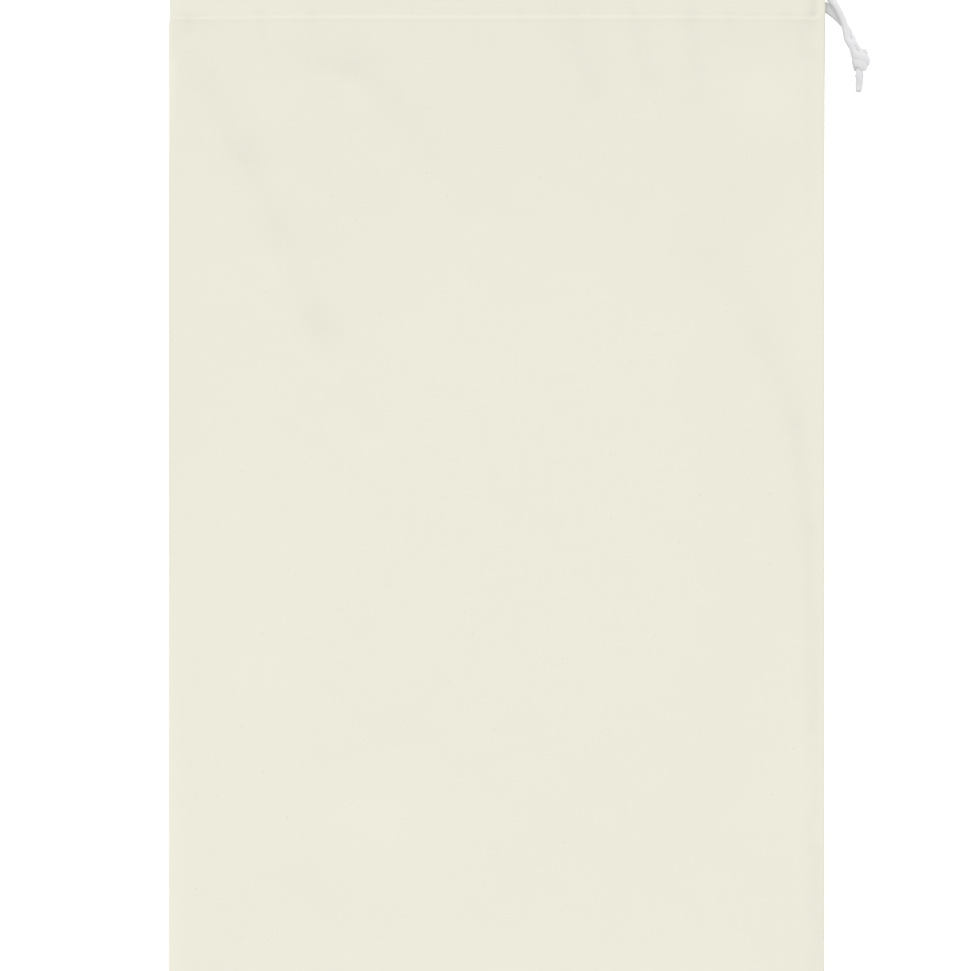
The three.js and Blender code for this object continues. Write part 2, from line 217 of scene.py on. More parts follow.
@dataclass(frozen=True)
class Pucker:
    """A small gather where the channel's stitching draws the cloth in.

    Attributes:
        at: Where it is, across the bag.
        length: How far it reaches down from the seam.
        reach: How far it spreads to each side.
        depth: How deep it is at the seam.
        painted_shade: How much shade is painted into the cloth in it, from 0 to 1.
        slant: How far it moves across for each millimetre down.
        above: How far it reaches up, as a share of its length.
    """

    at: float
    length: float
    reach: float
    depth: float
    painted_shade: float
    slant: float = 0.12
    above: float = 0.35

    def share(self, x: Array, below: Array) -> Array:
        """Work out how far points are in the pucker.

        Args:
            x: Their places across the bag.
            below: How far they are below the seam.

        Returns:
            For each point a share, 1 where the pucker starts.
        """
        across = bump(x - self.at - self.slant * below, self.reach)
        down = np.exp(-np.clip(below, 0, None) / self.length)
        up = np.exp(-np.clip(-below, 0, None) / (self.above * self.length))
        return across * down * up


@dataclass(frozen=True)
class Rise:
    """A soft rise in one direction, or a fall where it is full before it starts.

    Attributes:
        start: Where it starts.
        full: Where it has reached 1.
        least: Its share where it starts.
    """

    start: float
    full: float
    least: float = 0.0

    def share(self, value: Array) -> Array:
        """Return the share at each value."""
        return between(self.least, 1.0, smooth(value, self.start, self.full))


@dataclass(frozen=True)
class Bell:
    """A soft bell in one direction.

    Attributes:
        middle: Where it is 1.
        reach: How far it spreads to each side.
    """

    middle: float
    reach: float

    def share(self, value: Array) -> Array:
        """Return the share at each value."""
        return bump(value - self.middle, self.reach)


@dataclass(frozen=True)
class Patch:
    """A soft patch of the front panel where shade or light is painted into the cloth's colour.

    Attributes:
        strength: How much it adds in its middle, or takes away where it is below zero.
        across: Its spread across the bag.
        along: Its spread along the bag.
    """

    strength: float
    across: Rise | Bell
    along: Rise | Bell

    def share(self, x: Array, y: Array) -> Array:
        """Return how much it adds at each point."""
        return self.strength * self.across.share(x) * self.along.share(y)


# Patches of painted shade and painted light on the front panel
HEM = Rise(215.0, 217.5)

PAINTED_SHADE_PATCHES = (
    Patch(0.16, Rise(-145, -120), HEM),
    Patch(0.03, Rise(-100, -40), HEM),
    Patch(-0.11, Rise(30, 110), HEM),
    Patch(0.2, Rise(-148, -149.6), Rise(-60, 0)),
    Patch(0.72, Rise(-144.4, -148.8), Rise(190, 207)),
    Patch(0.08, Rise(-60, -95), Bell(80, 70)),
    Patch(0.13, Bell(135, 22), Rise(-130, -190)),
)

PAINTED_LIGHT_PATCHES = (
    Patch(0.12, Rise(-130, -90), Rise(-60, -150)),
    Patch(0.24, Bell(-58, 44), Bell(-152, 26)),
    Patch(0.4, Bell(120, 20), Bell(178, 19)),
)

UNDER_SEAM = Patch(0.13, Rise(-90, -70, least=0.4), Bell(203, 24))

# Folds that the imported front panel has too; the last number is the shade painted along each
MAIN_FOLDS = (
    Trough((-141, 198), (-115, 145), 12, 0.85, 0.07),
    Trough((-115, 145), (-101, 110), 11, 0.9, 0.07),
    Trough((-101, 110), (-79, 67), 10, 0.7, 0.04),
    Trough((-79, 67), (-58, 26), 10, 0.55, 0.02),
    Trough((-94, 193), (-64, 186), 11, 0.7, 0.05),
    Trough((-64, 186), (-45, 165), 11, 0.65, 0.04),
    Trough((-45, 165), (-15, 125), 12, 0.55, 0.02),
    Trough((33, 206), (45, 177), 10, 0.75, 0.10),
    Trough((64, 206), (72, 179), 9, 0.5, 0.05),
    Trough((89, 208), (93, 176), 9, 0.5, 0.05),
    Trough((97, 98), (125, 64), 13, 0.6, 0.02),
    Trough((125, 64), (138, 24), 11, 0.75, 0.08),
    Trough((138, 24), (143, -60), 9, 0.7, 0.08),
    Trough((-92, -183), (-80, -196), 13, 0.5, 0.05),
    Trough((-137.0, 210.0), (-136.9, 210.0), 7, 0.7, 0.0),
    Trough((144.8, 209.0), (144.9, 209.0), 6, 0.6, 0.0),
)

# Creases too fine for the imported model; the last number is the shade painted along each
FINE_FOLDS = (
    Trough((-133, 184), (-117, 150), 6.0, 0.30, 0.10),
    Trough((-117, 150), (-103, 119), 5.5, 0.32, 0.06),
    Trough((-98, 104), (-92, 92), 5.0, 0.20, 0.06),
    Trough((-84, 78), (-76, 58), 5.5, 0.36, 0.16),
    Trough((-66, 40), (-58, 26), 5.0, 0.18, 0.06),
    Trough((-80, 191), (-66, 187), 5.0, 0.16, 0.05),
    Trough((-66, 187), (-52, 174), 5.0, 0.30, 0.06),
    Trough((-40, 158), (-28, 141), 6.0, 0.14, 0.02),
    Trough((35, 200), (45, 180), 4.5, 0.24, 0.10),
    Trough((64, 206), (70, 186), 4.0, 0.20, 0.14),
    Trough((89, 210), (92, 188), 4.0, 0.20, 0.14),
    Trough((100, 94), (118, 72), 7.0, 0.14, 0.03),
    Trough((122, 66), (136, 30), 5.0, 0.28, 0.14),
    Trough((137.5, 28), (143, -20), 3.6, 0.34, 0.20),
    Trough((143, -20), (144.2, -110), 3.2, 0.26, 0.22),
    Trough((144.2, -110), (144.8, -165), 3.4, 0.26, 0.16),
    Trough((146.3, -60), (146.5, -150), 1.6, 0.06, 0.18),
    Trough((146.6, -168), (147.5, -232), 3.2, 0.36, 0.34),
    Trough((144, -165), (143, -232), 2.6, 0.10, 0.08),
    Trough((-140.2, 213.0), (-139.8, 208.5), 2.6, 0.30, 0.34),
    Trough((144.4, 233.0), (144.6, 216.0), 1.6, 0.40, 0.95),
    Trough((144.6, 214.0), (144.8, 205.0), 2.2, 0.20, 0.25),
    Trough((139.4, 211.0), (140.6, 197.0), 2.6, 0.20, 0.28),
    Trough((143.6, 196.0), (143.2, 120.0), 3.0, 0.20, 0.10),
    Trough((-88, -183), (-83, -190), 7.0, 0.20, 0.06),
    Trough((118, 182), (126, 176), 6.0, -0.12, 0.0),
)

# Gathers at the channel's seam; the last number is the shade painted into each
PUCKERS = (
    Pucker(-134, 5, 2.2, 0.14, 0.14),
    Pucker(-108, 9, 2.4, 0.20, 0.30),
    Pucker(-84, 8, 2.2, 0.18, 0.26),
    Pucker(-62, 6, 2.0, 0.10, 0.05),
    Pucker(-38, 8, 2.4, 0.12, 0.12),
    Pucker(-9, 5, 2.0, 0.10, 0.08),
    Pucker(11, 7, 2.2, 0.20, 0.24),
    Pucker(26, 7, 2.2, 0.12, 0.12),
    Pucker(35.5, 12, 2.4, 0.22, 0.16),
    Pucker(45, 7, 2.0, 0.16, 0.16),
    Pucker(62.5, 11, 2.2, 0.20, 0.24),
    Pucker(75, 8, 2.0, 0.12, 0.08),
    Pucker(88.6, 11, 2.4, 0.22, 0.28),
    Pucker(105.6, 6, 2.0, 0.18, 0.30),
    Pucker(118, 5, 2.0, 0.12, 0.12),
    Pucker(132.6, 9, 2.2, 0.20, 0.30),
    Pucker(142, 12, 2.0, 0.20, 0.24),
)


@dataclass(frozen=True)
class ChannelRun:
    """Where the cord runs in one half of the channel, along the bag.

    Attributes:
        left: Its place at the left end.
        middle: Its place between the bends.
        right: Its place at the right edge.
        left_bend: How far from the left end it bends.
        right_bend: How far from the right edge it bends.
    """

    left: float
    middle: float
    right: float
    left_bend: float = 80.0
    right_bend: float = 35.0


@dataclass(frozen=True)
class LeftEdge:
    """The stretch of painted light down the left edge.

    Attributes:
        strength: How much light is painted where it is fullest.
        inset: How far in from the edge it starts to fade.
        width: How wide it is at the top.
        widening: How much wider it gets towards the bottom.
        widens: Where it gets wider.
        fills: Where it gets lighter.
    """

    strength: float = 0.36
    inset: float = 2.0
    width: float = 7.0
    widening: float = 5.0
    widens: Rise = Rise(-100, -220)
    fills: Rise = Rise(40, -190)

    def share(self, inwards: Array, y: Array) -> Array:
        """Return how light it is at points, by their places in from the edge and along the bag."""
        width = self.width + self.widening * self.widens.share(y)
        return self.strength * ease(inwards - self.inset, width) * self.fills.share(y)


@dataclass(frozen=True)
class BagForm:
    """The bag's own sizes, and the faces that its cloth follows as it lies.

    In every method x is places across the bag and y is places along it.

    Attributes:
        half_width: Half the bag's width.
        mouth: Where its folded mouth edge lies, along the bag.
        bottom: Where its bottom edge lies.
        channel: How high the drawstring channel is.
        hem: How far the hem reaches past the channel's seam.
        cord: The cord's thickness.
        sheet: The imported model's cloth.
        gap: The play between its pieces.
        left_turn: How far from the left edge the channel turns to the other panel.
        body_top: How high the front panel lies over the body.
        gape: How far the mouth stands open in its middle.
        side_flat: How far in from an edge the front panel starts to rise.
        side_rise: How far in from a side it has risen fully.
        bottom_rise: How far in from the bottom it has risen fully.
        flat_mouth: How far from the bag's middle the mouth starts to close.
        closed_mouth: How far in from a side the mouth is closed.
        shoulder_middle: How long the slope below the channel is in the middle.
        shoulder_side: How long it is at a side.
        shoulder_change: How far in from a side it is as long as in the middle.
        shoulder_start: How far above the hem's edge it starts.
        cord_bulge: How far to each side of the cord the hem bulges.
        mouth_roll: How far from the mouth's edge the cloth starts to curve down.
        mouth_drop: How far it curves down.
        left_roll: How far from the left edge the front hem starts to curve down.
        least_fullness: How full the bag is where its main folds start to get shallower.
        pinch: How much of the main folds goes on over the hem.
        calm_edge: How far in from a side the fine creases have their full depth.
        ridge_below: How far below the seam the ridge of its stitching lies.
        ridge_crest: How high the ridge's narrow crest is.
        ridge_swell: How high its wide foot is.
        crest_reach: How far the crest spreads down from the ridge.
        swell_reach: How far the foot spreads down from it.
        ridge_face: How far the ridge spreads up to the stitching.
        stitch_draw: How far the stitching draws the hem's inner face in.
        stitch_reach: How far to each side of the seam it draws.
        slit_draw: How far in it draws where the slit is turned in.
        slit_turn: Between which distances in from the right edge that changes.
        groove: How far it draws the back panel up off the floor.
        groove_below: How far below the seam that groove lies.
        groove_reach: How far to each side it spreads.
        slit_groove: How far the stitches across the slit draw the back panel up.
        slit_reach: How far to each side of them they do.
        slit_inset: How far in from the right edge they lie.
        front_run: Where the cord runs in the channel's front half.
        back_run: Where it runs in its back half.
    """

    half_width: float
    mouth: float
    bottom: float
    channel: float = 20.0
    hem: float = 2.0
    cord: float = 3.2
    sheet: float = 1.0
    gap: float = 0.3
    left_turn: float = 13.0
    body_top: float = 7.6
    gape: float = 4.3
    side_flat: float = 7.0
    side_rise: float = 72.0
    bottom_rise: float = 150.0
    flat_mouth: float = 80.0
    closed_mouth: float = 4.0
    shoulder_middle: float = 150.0
    shoulder_side: float = 95.0
    shoulder_change: float = 70.0
    shoulder_start: float = 3.0
    cord_bulge: float = 5.5
    mouth_roll: float = 4.0
    mouth_drop: float = 1.3
    left_roll: float = 6.0
    least_fullness: float = 0.45
    pinch: float = 0.4
    calm_edge: float = 5.0
    ridge_below: float = 1.7
    ridge_crest: float = 0.15
    ridge_swell: float = 0.22
    crest_reach: float = 0.9
    swell_reach: float = 14.0
    ridge_face: float = 1.0
    stitch_draw: float = 0.7
    stitch_reach: float = 1.8
    slit_draw: float = 0.2
    slit_turn: tuple[float, float] = (12.0, 9.0)
    groove: float = 0.40
    groove_below: float = 0.2
    groove_reach: float = 1.9
    slit_groove: float = 0.36
    slit_reach: float = 1.5
    slit_inset: float = 5.5
    front_run: ChannelRun = ChannelRun(228.6, 226.5, 225.3)
    back_run: ChannelRun = ChannelRun(219.2, 220.0, 219.6)

    @classmethod
    def from_frame(cls) -> "BagForm":
        """Take the bag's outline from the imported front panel."""
        low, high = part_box("front_panel")
        return cls(high.x / MM, high.y / MM, low.y / MM)

    @property
    def seam(self) -> float:
        """Where the channel is stitched, along the bag."""
        return self.mouth - self.channel

    @property
    def hem_edge(self) -> float:
        """Where the turned-down hem ends inside the bag."""
        return self.seam - self.hem

    @property
    def channel_end(self) -> float:
        """Where the channel turns from the front to the back at the left."""
        return -self.half_width + self.left_turn

    @property
    def hem_flat(self) -> float:
        """How deep the hem is away from the cord."""
        return 2 * self.sheet + self.gap

    @property
    def hem_full(self) -> float:
        """How deep the hem is over the cord."""
        return 2 * self.sheet + 2 * self.gap + self.cord

    @property
    def seam_top(self) -> float:
        """How high the front panel lies at the side seams."""
        return 2 * self.sheet + self.gap

    def panel_faces(self, side: Side) -> tuple[Callable[..., Array], Callable[..., Array]]:
        """Return the functions for a panel's outer face and for its hem's inner face."""
        front = (self.front_outer, self.front_inner)
        return front if side is Side.FRONT else (self.back_outer, self.back_inner)

    def from_side(self, x: Array) -> Array:
        """Return how far in from the nearer side each place is."""
        return self.half_width - np.abs(x)

    def cord_line(self, run: ChannelRun, x: Array) -> Array:
        """Work out where the cord lies in the channel.

        Args:
            run: The half of the channel.
            x: Places across the bag.

        Returns:
            The cord's place along the bag at each.
        """
        right = smooth(x, self.half_width - run.right_bend, self.half_width)
        left = smooth(x, self.channel_end + run.left_bend, self.channel_end)
        return run.middle + (run.right - run.middle) * right + (run.left - run.middle) * left

    def hem_depth(self, run: ChannelRun, x: Array, y: Array) -> Array:
        """Return how deep the hem is from its outer face to its inner one."""
        away = np.clip(np.abs(y - self.cord_line(run, x)) / self.cord_bulge, 0, 1)
        return between(self.hem_flat, self.hem_full, np.cos(away * math.pi / 2) ** 2)

    def hem_top(self, x: Array) -> Array:
        """Work out how high the front hem lies, most over the open middle of the mouth.

        Args:
            x: Places across the bag.

        Returns:
            The height at each.
        """
        closed = self.hem_full + self.gap + self.hem_flat
        share = smooth(np.abs(x), self.flat_mouth, self.half_width - self.closed_mouth)
        return between(2 * self.hem_full + self.gape, closed, share)

    def mouth_fall(self, y: Array) -> Array:
        """Return how far the cloth curves down towards the mouth's folded edge."""
        past = y - (self.mouth - self.mouth_roll)
        return self.mouth_drop * (1 - quarter(past, self.mouth_roll))

    def main_depth(self, x: Array, y: Array) -> Array:
        """Return how deep all the main folds are together."""
        return sum(fold.depth * fold.share(x, y) for fold in MAIN_FOLDS)

    def fine_depth(self, x: Array, y: Array) -> Array:
        """Return how deep the fine creases and the seam's puckers are together."""
        depth = sum(fold.depth * fold.share(x, y) for fold in FINE_FOLDS)
        return depth + sum(pucker.depth * pucker.share(x, self.seam - y) for pucker in PUCKERS)

    def painted_shade_at(self, x: Array, y: Array) -> Array:
        """Work out the shade painted into the front panel, most along its folds.

        Args:
            x: Places across.
            y: Places along.

        Returns:
            How much shade is painted at each point, from 0 to 1.
        """
        painted_shade = sum(fold.painted_shade * fold.share(x, y) for fold in MAIN_FOLDS + FINE_FOLDS)
        painted_shade = painted_shade + sum(pucker.painted_shade * pucker.share(x, self.seam - y) for pucker in PUCKERS)
        painted_shade = painted_shade + sum(patch.share(x, y) for patch in PAINTED_SHADE_PATCHES)
        return np.clip(painted_shade, 0.0, 1.0)

    def painted_light_at(self, x: Array, y: Array) -> Array:
        """Work out the light painted into the front panel.

        It is painted lighter down its left edge, under the channel's seam, low down and at the upper right.

        Args:
            x: Places across.
            y: Places along.

        Returns:
            How much light is painted at each point, from 0 to 1.
        """
        under_seam = UNDER_SEAM.share(x, y) * smooth(self.seam - y, 0.0, 2.0)
        light = LeftEdge().share(x + self.half_width, y) + under_seam
        return np.clip(light + sum(patch.share(x, y) for patch in PAINTED_LIGHT_PATCHES), 0.0, 1.0)

    def ripple(self, x: Array, y: Array) -> Array:
        """Work out the cloth's slight unevenness where no fold is, as three crossing waves.

        Args:
            x: Places across.
            y: Places along.

        Returns:
            How far each point stands out.
        """
        waves = 0.10 * np.sin(x / 9.3 + 1.7 * np.sin(y / 37)) * np.sin(y / 14.1 + 0.8)
        waves += 0.07 * np.sin((x + 0.7 * y) / 6.7 + 2.1) * np.sin((y - 0.4 * x) / 11.9)
        return waves + 0.03 * np.sin((x - 1.3 * y) / 3.9) * np.sin((x + 0.8 * y) / 5.3 + 1.1)

    def body(self, x: Array, y: Array) -> Array:
        """Work out the front panel's outer face over the body.

        Args:
            x: Places across.
            y: Places along.

        Returns:
            The height at each point.
        """
        side = smooth(self.from_side(x), self.side_flat, self.side_rise)
        bottom = smooth(y - self.bottom, self.side_flat, self.bottom_rise)
        drift = 0.25 * np.sin(x / 31 + 1) * np.sin(y / 43 + 0.6)
        fullness = side * bottom
        fold = self.main_depth(x, y) / np.maximum(fullness, self.least_fullness)
        return self.seam_top + fullness * (self.body_top - self.seam_top + drift - fold)

    def seam_relief(self, y: Array) -> Array:
        """Work out the ridge just below the stitching, steep towards it and gentle below.

        Args:
            y: Places along the bag.

        Returns:
            How far the cloth stands out at each.
        """
        past = y - self.seam + self.ridge_below
        crest = self.ridge_crest * bump(past, self.crest_reach)
        below = crest + self.ridge_swell * bump(past, self.swell_reach)
        above = (self.ridge_crest + self.ridge_swell) * bump(past, self.ridge_face)
        return np.where(past > 0, above, below)

    def front_outer(self, x: Array, y: Array) -> Array:
        """Work out the front panel's outer face, hem and body together.

        Args:
            x: Places across.
            y: Places along.

        Returns:
            The height at each point.
        """
        inside = smooth(self.from_side(x), 0, self.shoulder_change)
        shoulder = between(self.shoulder_side, self.shoulder_middle, inside)
        hem = ease(self.hem_edge + self.shoulder_start - y, shoulder)
        fall = quarter(-self.half_width + self.left_roll - x, self.left_roll)
        rolled = between(self.seam_top, self.hem_top(x), fall)
        calm = smooth(self.from_side(x), 0.0, self.calm_edge)
        fine = (self.fine_depth(x, y) - self.ripple(x, y)) * calm
        relief = self.seam_relief(y) * calm - self.pinch * self.main_depth(x, y)
        return between(self.body(x, y), rolled + relief, hem) - self.mouth_fall(y) - fine

    def drawn_in(self, x: Array, y: Array) -> Array:
        """Return how far the stitching draws a hem's inner face in, less where the slit is turned in."""
        slit = smooth(self.half_width - x, *self.slit_turn)
        return between(self.stitch_draw, self.slit_draw, slit) * bump(y - self.seam, self.stitch_reach)

    def front_inner(self, x: Array, y: Array) -> Array:
        """Return the front hem's inner face, drawn up where it is stitched."""
        return self.hem_top(x) - self.hem_depth(self.front_run, x, y) + self.drawn_in(x, y)

    def back_outer(self, x: Array, y: Array) -> Array:
        """Work out the back panel's outer face, drawn up off the floor along the stitching.

        Args:
            x: Places across.
            y: Places along.

        Returns:
            The height at each point.
        """
        calm = smooth(self.half_width + x, 0.0, self.calm_edge) * smooth(self.half_width - x, 0.0, 1.5)
        channel = self.groove * bump(y - self.seam + self.groove_below, self.groove_reach)
        slit = self.slit_groove * bump(x - self.half_width + self.slit_inset, self.slit_reach)
        return np.maximum(channel, slit * smooth(y, self.seam - 1, self.seam + 1)) * calm

    def back_inner(self, x: Array, y: Array) -> Array:
        """Return the back hem's inner face, drawn down where it is stitched."""
        depth = self.hem_depth(self.back_run, x, y)
        return depth - self.drawn_in(x, y) - 0.5 * self.mouth_fall(y)


class Nodes:
    """A short way to add and join a material's or group's nodes."""

    def __init__(self, tree: bpy.types.NodeTree) -> None:
        """Work on one node tree."""
        self.tree = tree

    def feed(self, place: bpy.types.NodeSocket, value: object) -> None:
        """Join an input to a socket, or set it to any other value.

        Args:
            place: The input.
            value: The socket or value.
        """
        if isinstance(value, bpy.types.NodeSocket):
            self.tree.links.new(value, place)
        else:
            place.default_value = value

    def add(self, kind: str, inputs: dict | None = None, **settings: object) -> bpy.types.Node:
        """Add a node.

        Args:
            kind: Its type.
            inputs: What its inputs get, a value or a socket, by their names or numbers.
            **settings: Its properties.

        Returns:
            The node.
        """
        node = self.tree.nodes.new(kind)
        for name, value in settings.items():
            setattr(node, name, value)
        for name, value in (inputs or {}).items():
            self.feed(node.inputs[name], value)
        return node

    def maths(self, operation: str, *values: object) -> bpy.types.NodeSocket:
        """Add a Math node with its inputs in order, and return its result."""
        return self.add("ShaderNodeMath", dict(enumerate(values)), operation=operation).outputs[0]

    def plus(self, first: object, second: object) -> bpy.types.NodeSocket:
        """Return the sum of two inputs."""
        return self.maths("ADD", first, second)

    def times(self, first: object, second: object) -> bpy.types.NodeSocket:
        """Return the product of two inputs."""
        return self.maths("MULTIPLY", first, second)

    def mix(self, share: object, first: object, second: object) -> bpy.types.NodeSocket:
        """Add a colour Mix node and return its result."""
        return self.add("ShaderNodeMix", {0: share, 6: first, 7: second}, data_type="RGBA").outputs[2]

    def noise(
        self, vector: object, detail: float, scale: float = 1.0, stretch: tuple[float, float] | None = None
    ) -> bpy.types.NodeSocket:
        """Add flat noise.

        Args:
            vector: Where it is read.
            detail: How many finer layers it has.
            scale: How fine it is.
            stretch: How fine it is each way, where that differs.

        Returns:
            The noise, from 0 to 1.
        """
        if stretch:
            vector = self.add("ShaderNodeMapping", {"Vector": vector, "Scale": (*stretch, 1.0)}).outputs[0]
        inputs = {"Vector": vector, "Scale": scale, "Detail": detail}
        return self.add("ShaderNodeTexNoise", inputs, noise_dimensions="2D").outputs["Fac"]


def new_group(name: str, **inputs: str) -> tuple[Nodes, object, object]:
    """Make an empty shader node group with Color and Height outputs.

    Args:
        name: The group's name.
        **inputs: The kind of each of its inputs, by name.

    Returns:
        The group's nodes, its inputs' sockets inside it and its outputs'.
    """
    tree = bpy.data.node_groups.new(name, "ShaderNodeTree")
    for label, kind in inputs.items():
        tree.interface.new_socket(label, in_out="INPUT", socket_type=f"NodeSocket{kind}")
    for label, kind in (("Color", "Color"), ("Height", "Float")):
        tree.interface.new_socket(label, in_out="OUTPUT", socket_type=f"NodeSocket{kind}")
    nodes = Nodes(tree)
    return nodes, nodes.add("NodeGroupInput").outputs, nodes.add("NodeGroupOutput").inputs


def plain_weave_group() -> bpy.types.NodeTree:
    """Build the plain weave: yarns over and under one another, slubs and specks.

    Returns:
        A group with Vector, Pitch, Cloth, Shade and Speck inputs, and Color and Height outputs.
    """
    nodes, given, made = new_group(
        "plain_weave", Vector="Vector", Pitch="Float", Cloth="Color", Shade="Color", Speck="Color"
    )
    vector, pitch, cloth, shade, speck = given[:5]
    wander_scale, wander_share = 420.0, 0.8
    slub_across, slub_along, slub_height = 900.0, 45.0, 0.9
    speck_scale, speck_size, speck_gaps, speck_tint, speck_height = 95.0, 0.045, 0.8, 0.55, 0.7
    split = nodes.add("ShaderNodeSeparateXYZ", {0: vector})
    wander = nodes.noise(vector, detail=2.0, scale=wander_scale)
    drift = nodes.times(nodes.maths("SUBTRACT", wander, 0.5), wander_share)
    turns = []
    for place in split.outputs[:2]:
        count = nodes.plus(nodes.maths("DIVIDE", place, pitch), drift)
        turns.append(nodes.maths("SINE", nodes.times(count, math.pi)))
    over = nodes.times(*turns)
    heights = []
    for turn, sign in zip(turns, (0.5, -0.5)):
        lift = nodes.plus(nodes.times(over, sign), 0.5)
        heights.append(nodes.times(nodes.maths("ABSOLUTE", turn), lift))
    crown = nodes.maths("MAXIMUM", *heights)
    ways = ((slub_across, slub_along), (slub_along, slub_across))
    slub = nodes.times(nodes.plus(*(nodes.noise(vector, detail=1.5, stretch=way) for way in ways)), 0.5)
    inputs = {"Vector": vector, "Scale": speck_scale}
    specks = nodes.add("ShaderNodeTexVoronoi", inputs, voronoi_dimensions="2D")
    chance = nodes.add("ShaderNodeSeparateColor", {0: specks.outputs["Color"]})
    reach = nodes.times(chance.outputs[1], speck_size)
    small = nodes.maths("LESS_THAN", specks.outputs["Distance"], reach)
    dot = nodes.times(small, nodes.maths("GREATER_THAN", chance.outputs[0], speck_gaps))
    # The Shade colour is painted shade in the hollows between the yarns' crowns; the slubs vary the tone at
    # random.
    tone = nodes.times(nodes.plus(nodes.maths("SUBTRACT", 1.0, crown), slub), 0.5)
    nodes.feed(made["Color"], nodes.mix(nodes.times(dot, speck_tint), nodes.mix(tone, cloth, shade), speck))
    raised = nodes.plus(crown, nodes.times(slub, slub_height))
    nodes.feed(made["Height"], nodes.plus(raised, nodes.times(dot, speck_height)))
    return nodes.tree


def cotton_fibre_group() -> bpy.types.NodeTree:
    """Build the fine fibres of cotton yarn, drawn out along the yarn.

    Returns:
        A group with Vector, Light and Dark inputs, and Color and Height outputs.
    """
    nodes, given, made = new_group("cotton_fibre", Vector="Vector", Light="Color", Dark="Color")
    vector, light, dark = given[:3]
    fibres = nodes.noise(vector, detail=3.0, stretch=(700.0, 5200.0))
    nodes.feed(made["Color"], nodes.mix(fibres, dark, light))
    nodes.feed(made["Height"], fibres)
    return nodes.tree


@dataclass(frozen=True)
class Finish:
    """A matt cotton surface.

    Attributes:
        name: The material's name.
        inputs: What its pattern group gets, by the names of the group's inputs.
        tints: The colour that each attribute painted on a piece brings in.
        relief: How far its yarns stand out, in millimetres.
        bump: How strongly they show.
        roughness: How matt it is.
        specular: How much it shines.
    """

    name: str
    inputs: dict[str, object]
    tints: dict[str, Colour]
    relief: float
    bump: float
    roughness: float
    specular: float

    def material(self, group: bpy.types.NodeTree) -> bpy.types.Material:
        """Make the material, which follows a piece's own flat pattern.

        Args:
            group: The pattern group.

        Returns:
            The material.
        """
        material = bpy.data.materials.new(self.name)
        material.use_nodes = True
        nodes = Nodes(material.node_tree)
        pattern = nodes.add("ShaderNodeUVMap", uv_map="pattern").outputs[0]
        made = nodes.add("ShaderNodeGroup", {"Vector": pattern, **self.inputs}, node_tree=group).outputs
        colour = made["Color"]
        for label, tint in self.tints.items():
            painted = nodes.add("ShaderNodeAttribute", attribute_name=label)
            colour = nodes.mix(painted.outputs["Fac"], colour, tint)
        height = {"Strength": self.bump, "Distance": self.relief * MM, "Height": made["Height"]}
        surface = {
            "Base Color": colour,
            "Normal": nodes.add("ShaderNodeBump", height).outputs["Normal"],
            "Roughness": self.roughness,
            "Specular IOR Level": self.specular,
        }
        shader = material.node_tree.nodes["Principled BSDF"]
        for label, value in surface.items():
            nodes.feed(shader.inputs[label], value)
        return material


def yarn_finish(name: str, light: Colour, dark: Colour) -> Finish:
    """Work out the finish of cotton yarn.

    Args:
        name: The material's name.
        light: The colour of the yarn's crowns.
        dark: The colour of its fine shadows.

    Returns:
        The finish.
    """
    return Finish(
        name,
        {"Light": light, "Dark": dark},
        # The dark tint is painted shade in the yarns' crevices and at the cut ends.
        {"crevice_shade": (0.56, 0.56, 0.57, 1.0)},
        relief=0.04,
        bump=0.5,
        roughness=0.88,
        specular=0.15,
    )


UNDYED_COTTON = Finish(
    "undyed_cotton",
    {
        "Pitch": 0.42 * MM,
        "Cloth": (0.766, 0.752, 0.648, 1.0),
        "Shade": (0.731, 0.717, 0.618, 1.0),
        "Speck": (0.66, 0.63, 0.53, 1.0),
    },
    # The darker tint is painted shade and the lighter tint is painted light on the front panel.
    {"painted_shade": (0.682, 0.670, 0.580, 1.0), "painted_light": (0.790, 0.776, 0.672, 1.0)},
    relief=0.05,
    bump=0.35,
    roughness=0.92,
    specular=0.12,
)
BRAIDED_COTTON = yarn_finish("braided_cotton", (0.76, 0.76, 0.77, 1.0), (0.69, 0.69, 0.70, 1.0))
SEWING_THREAD = yarn_finish("sewing_thread", (0.81, 0.80, 0.72, 1.0), (0.75, 0.74, 0.66, 1.0))


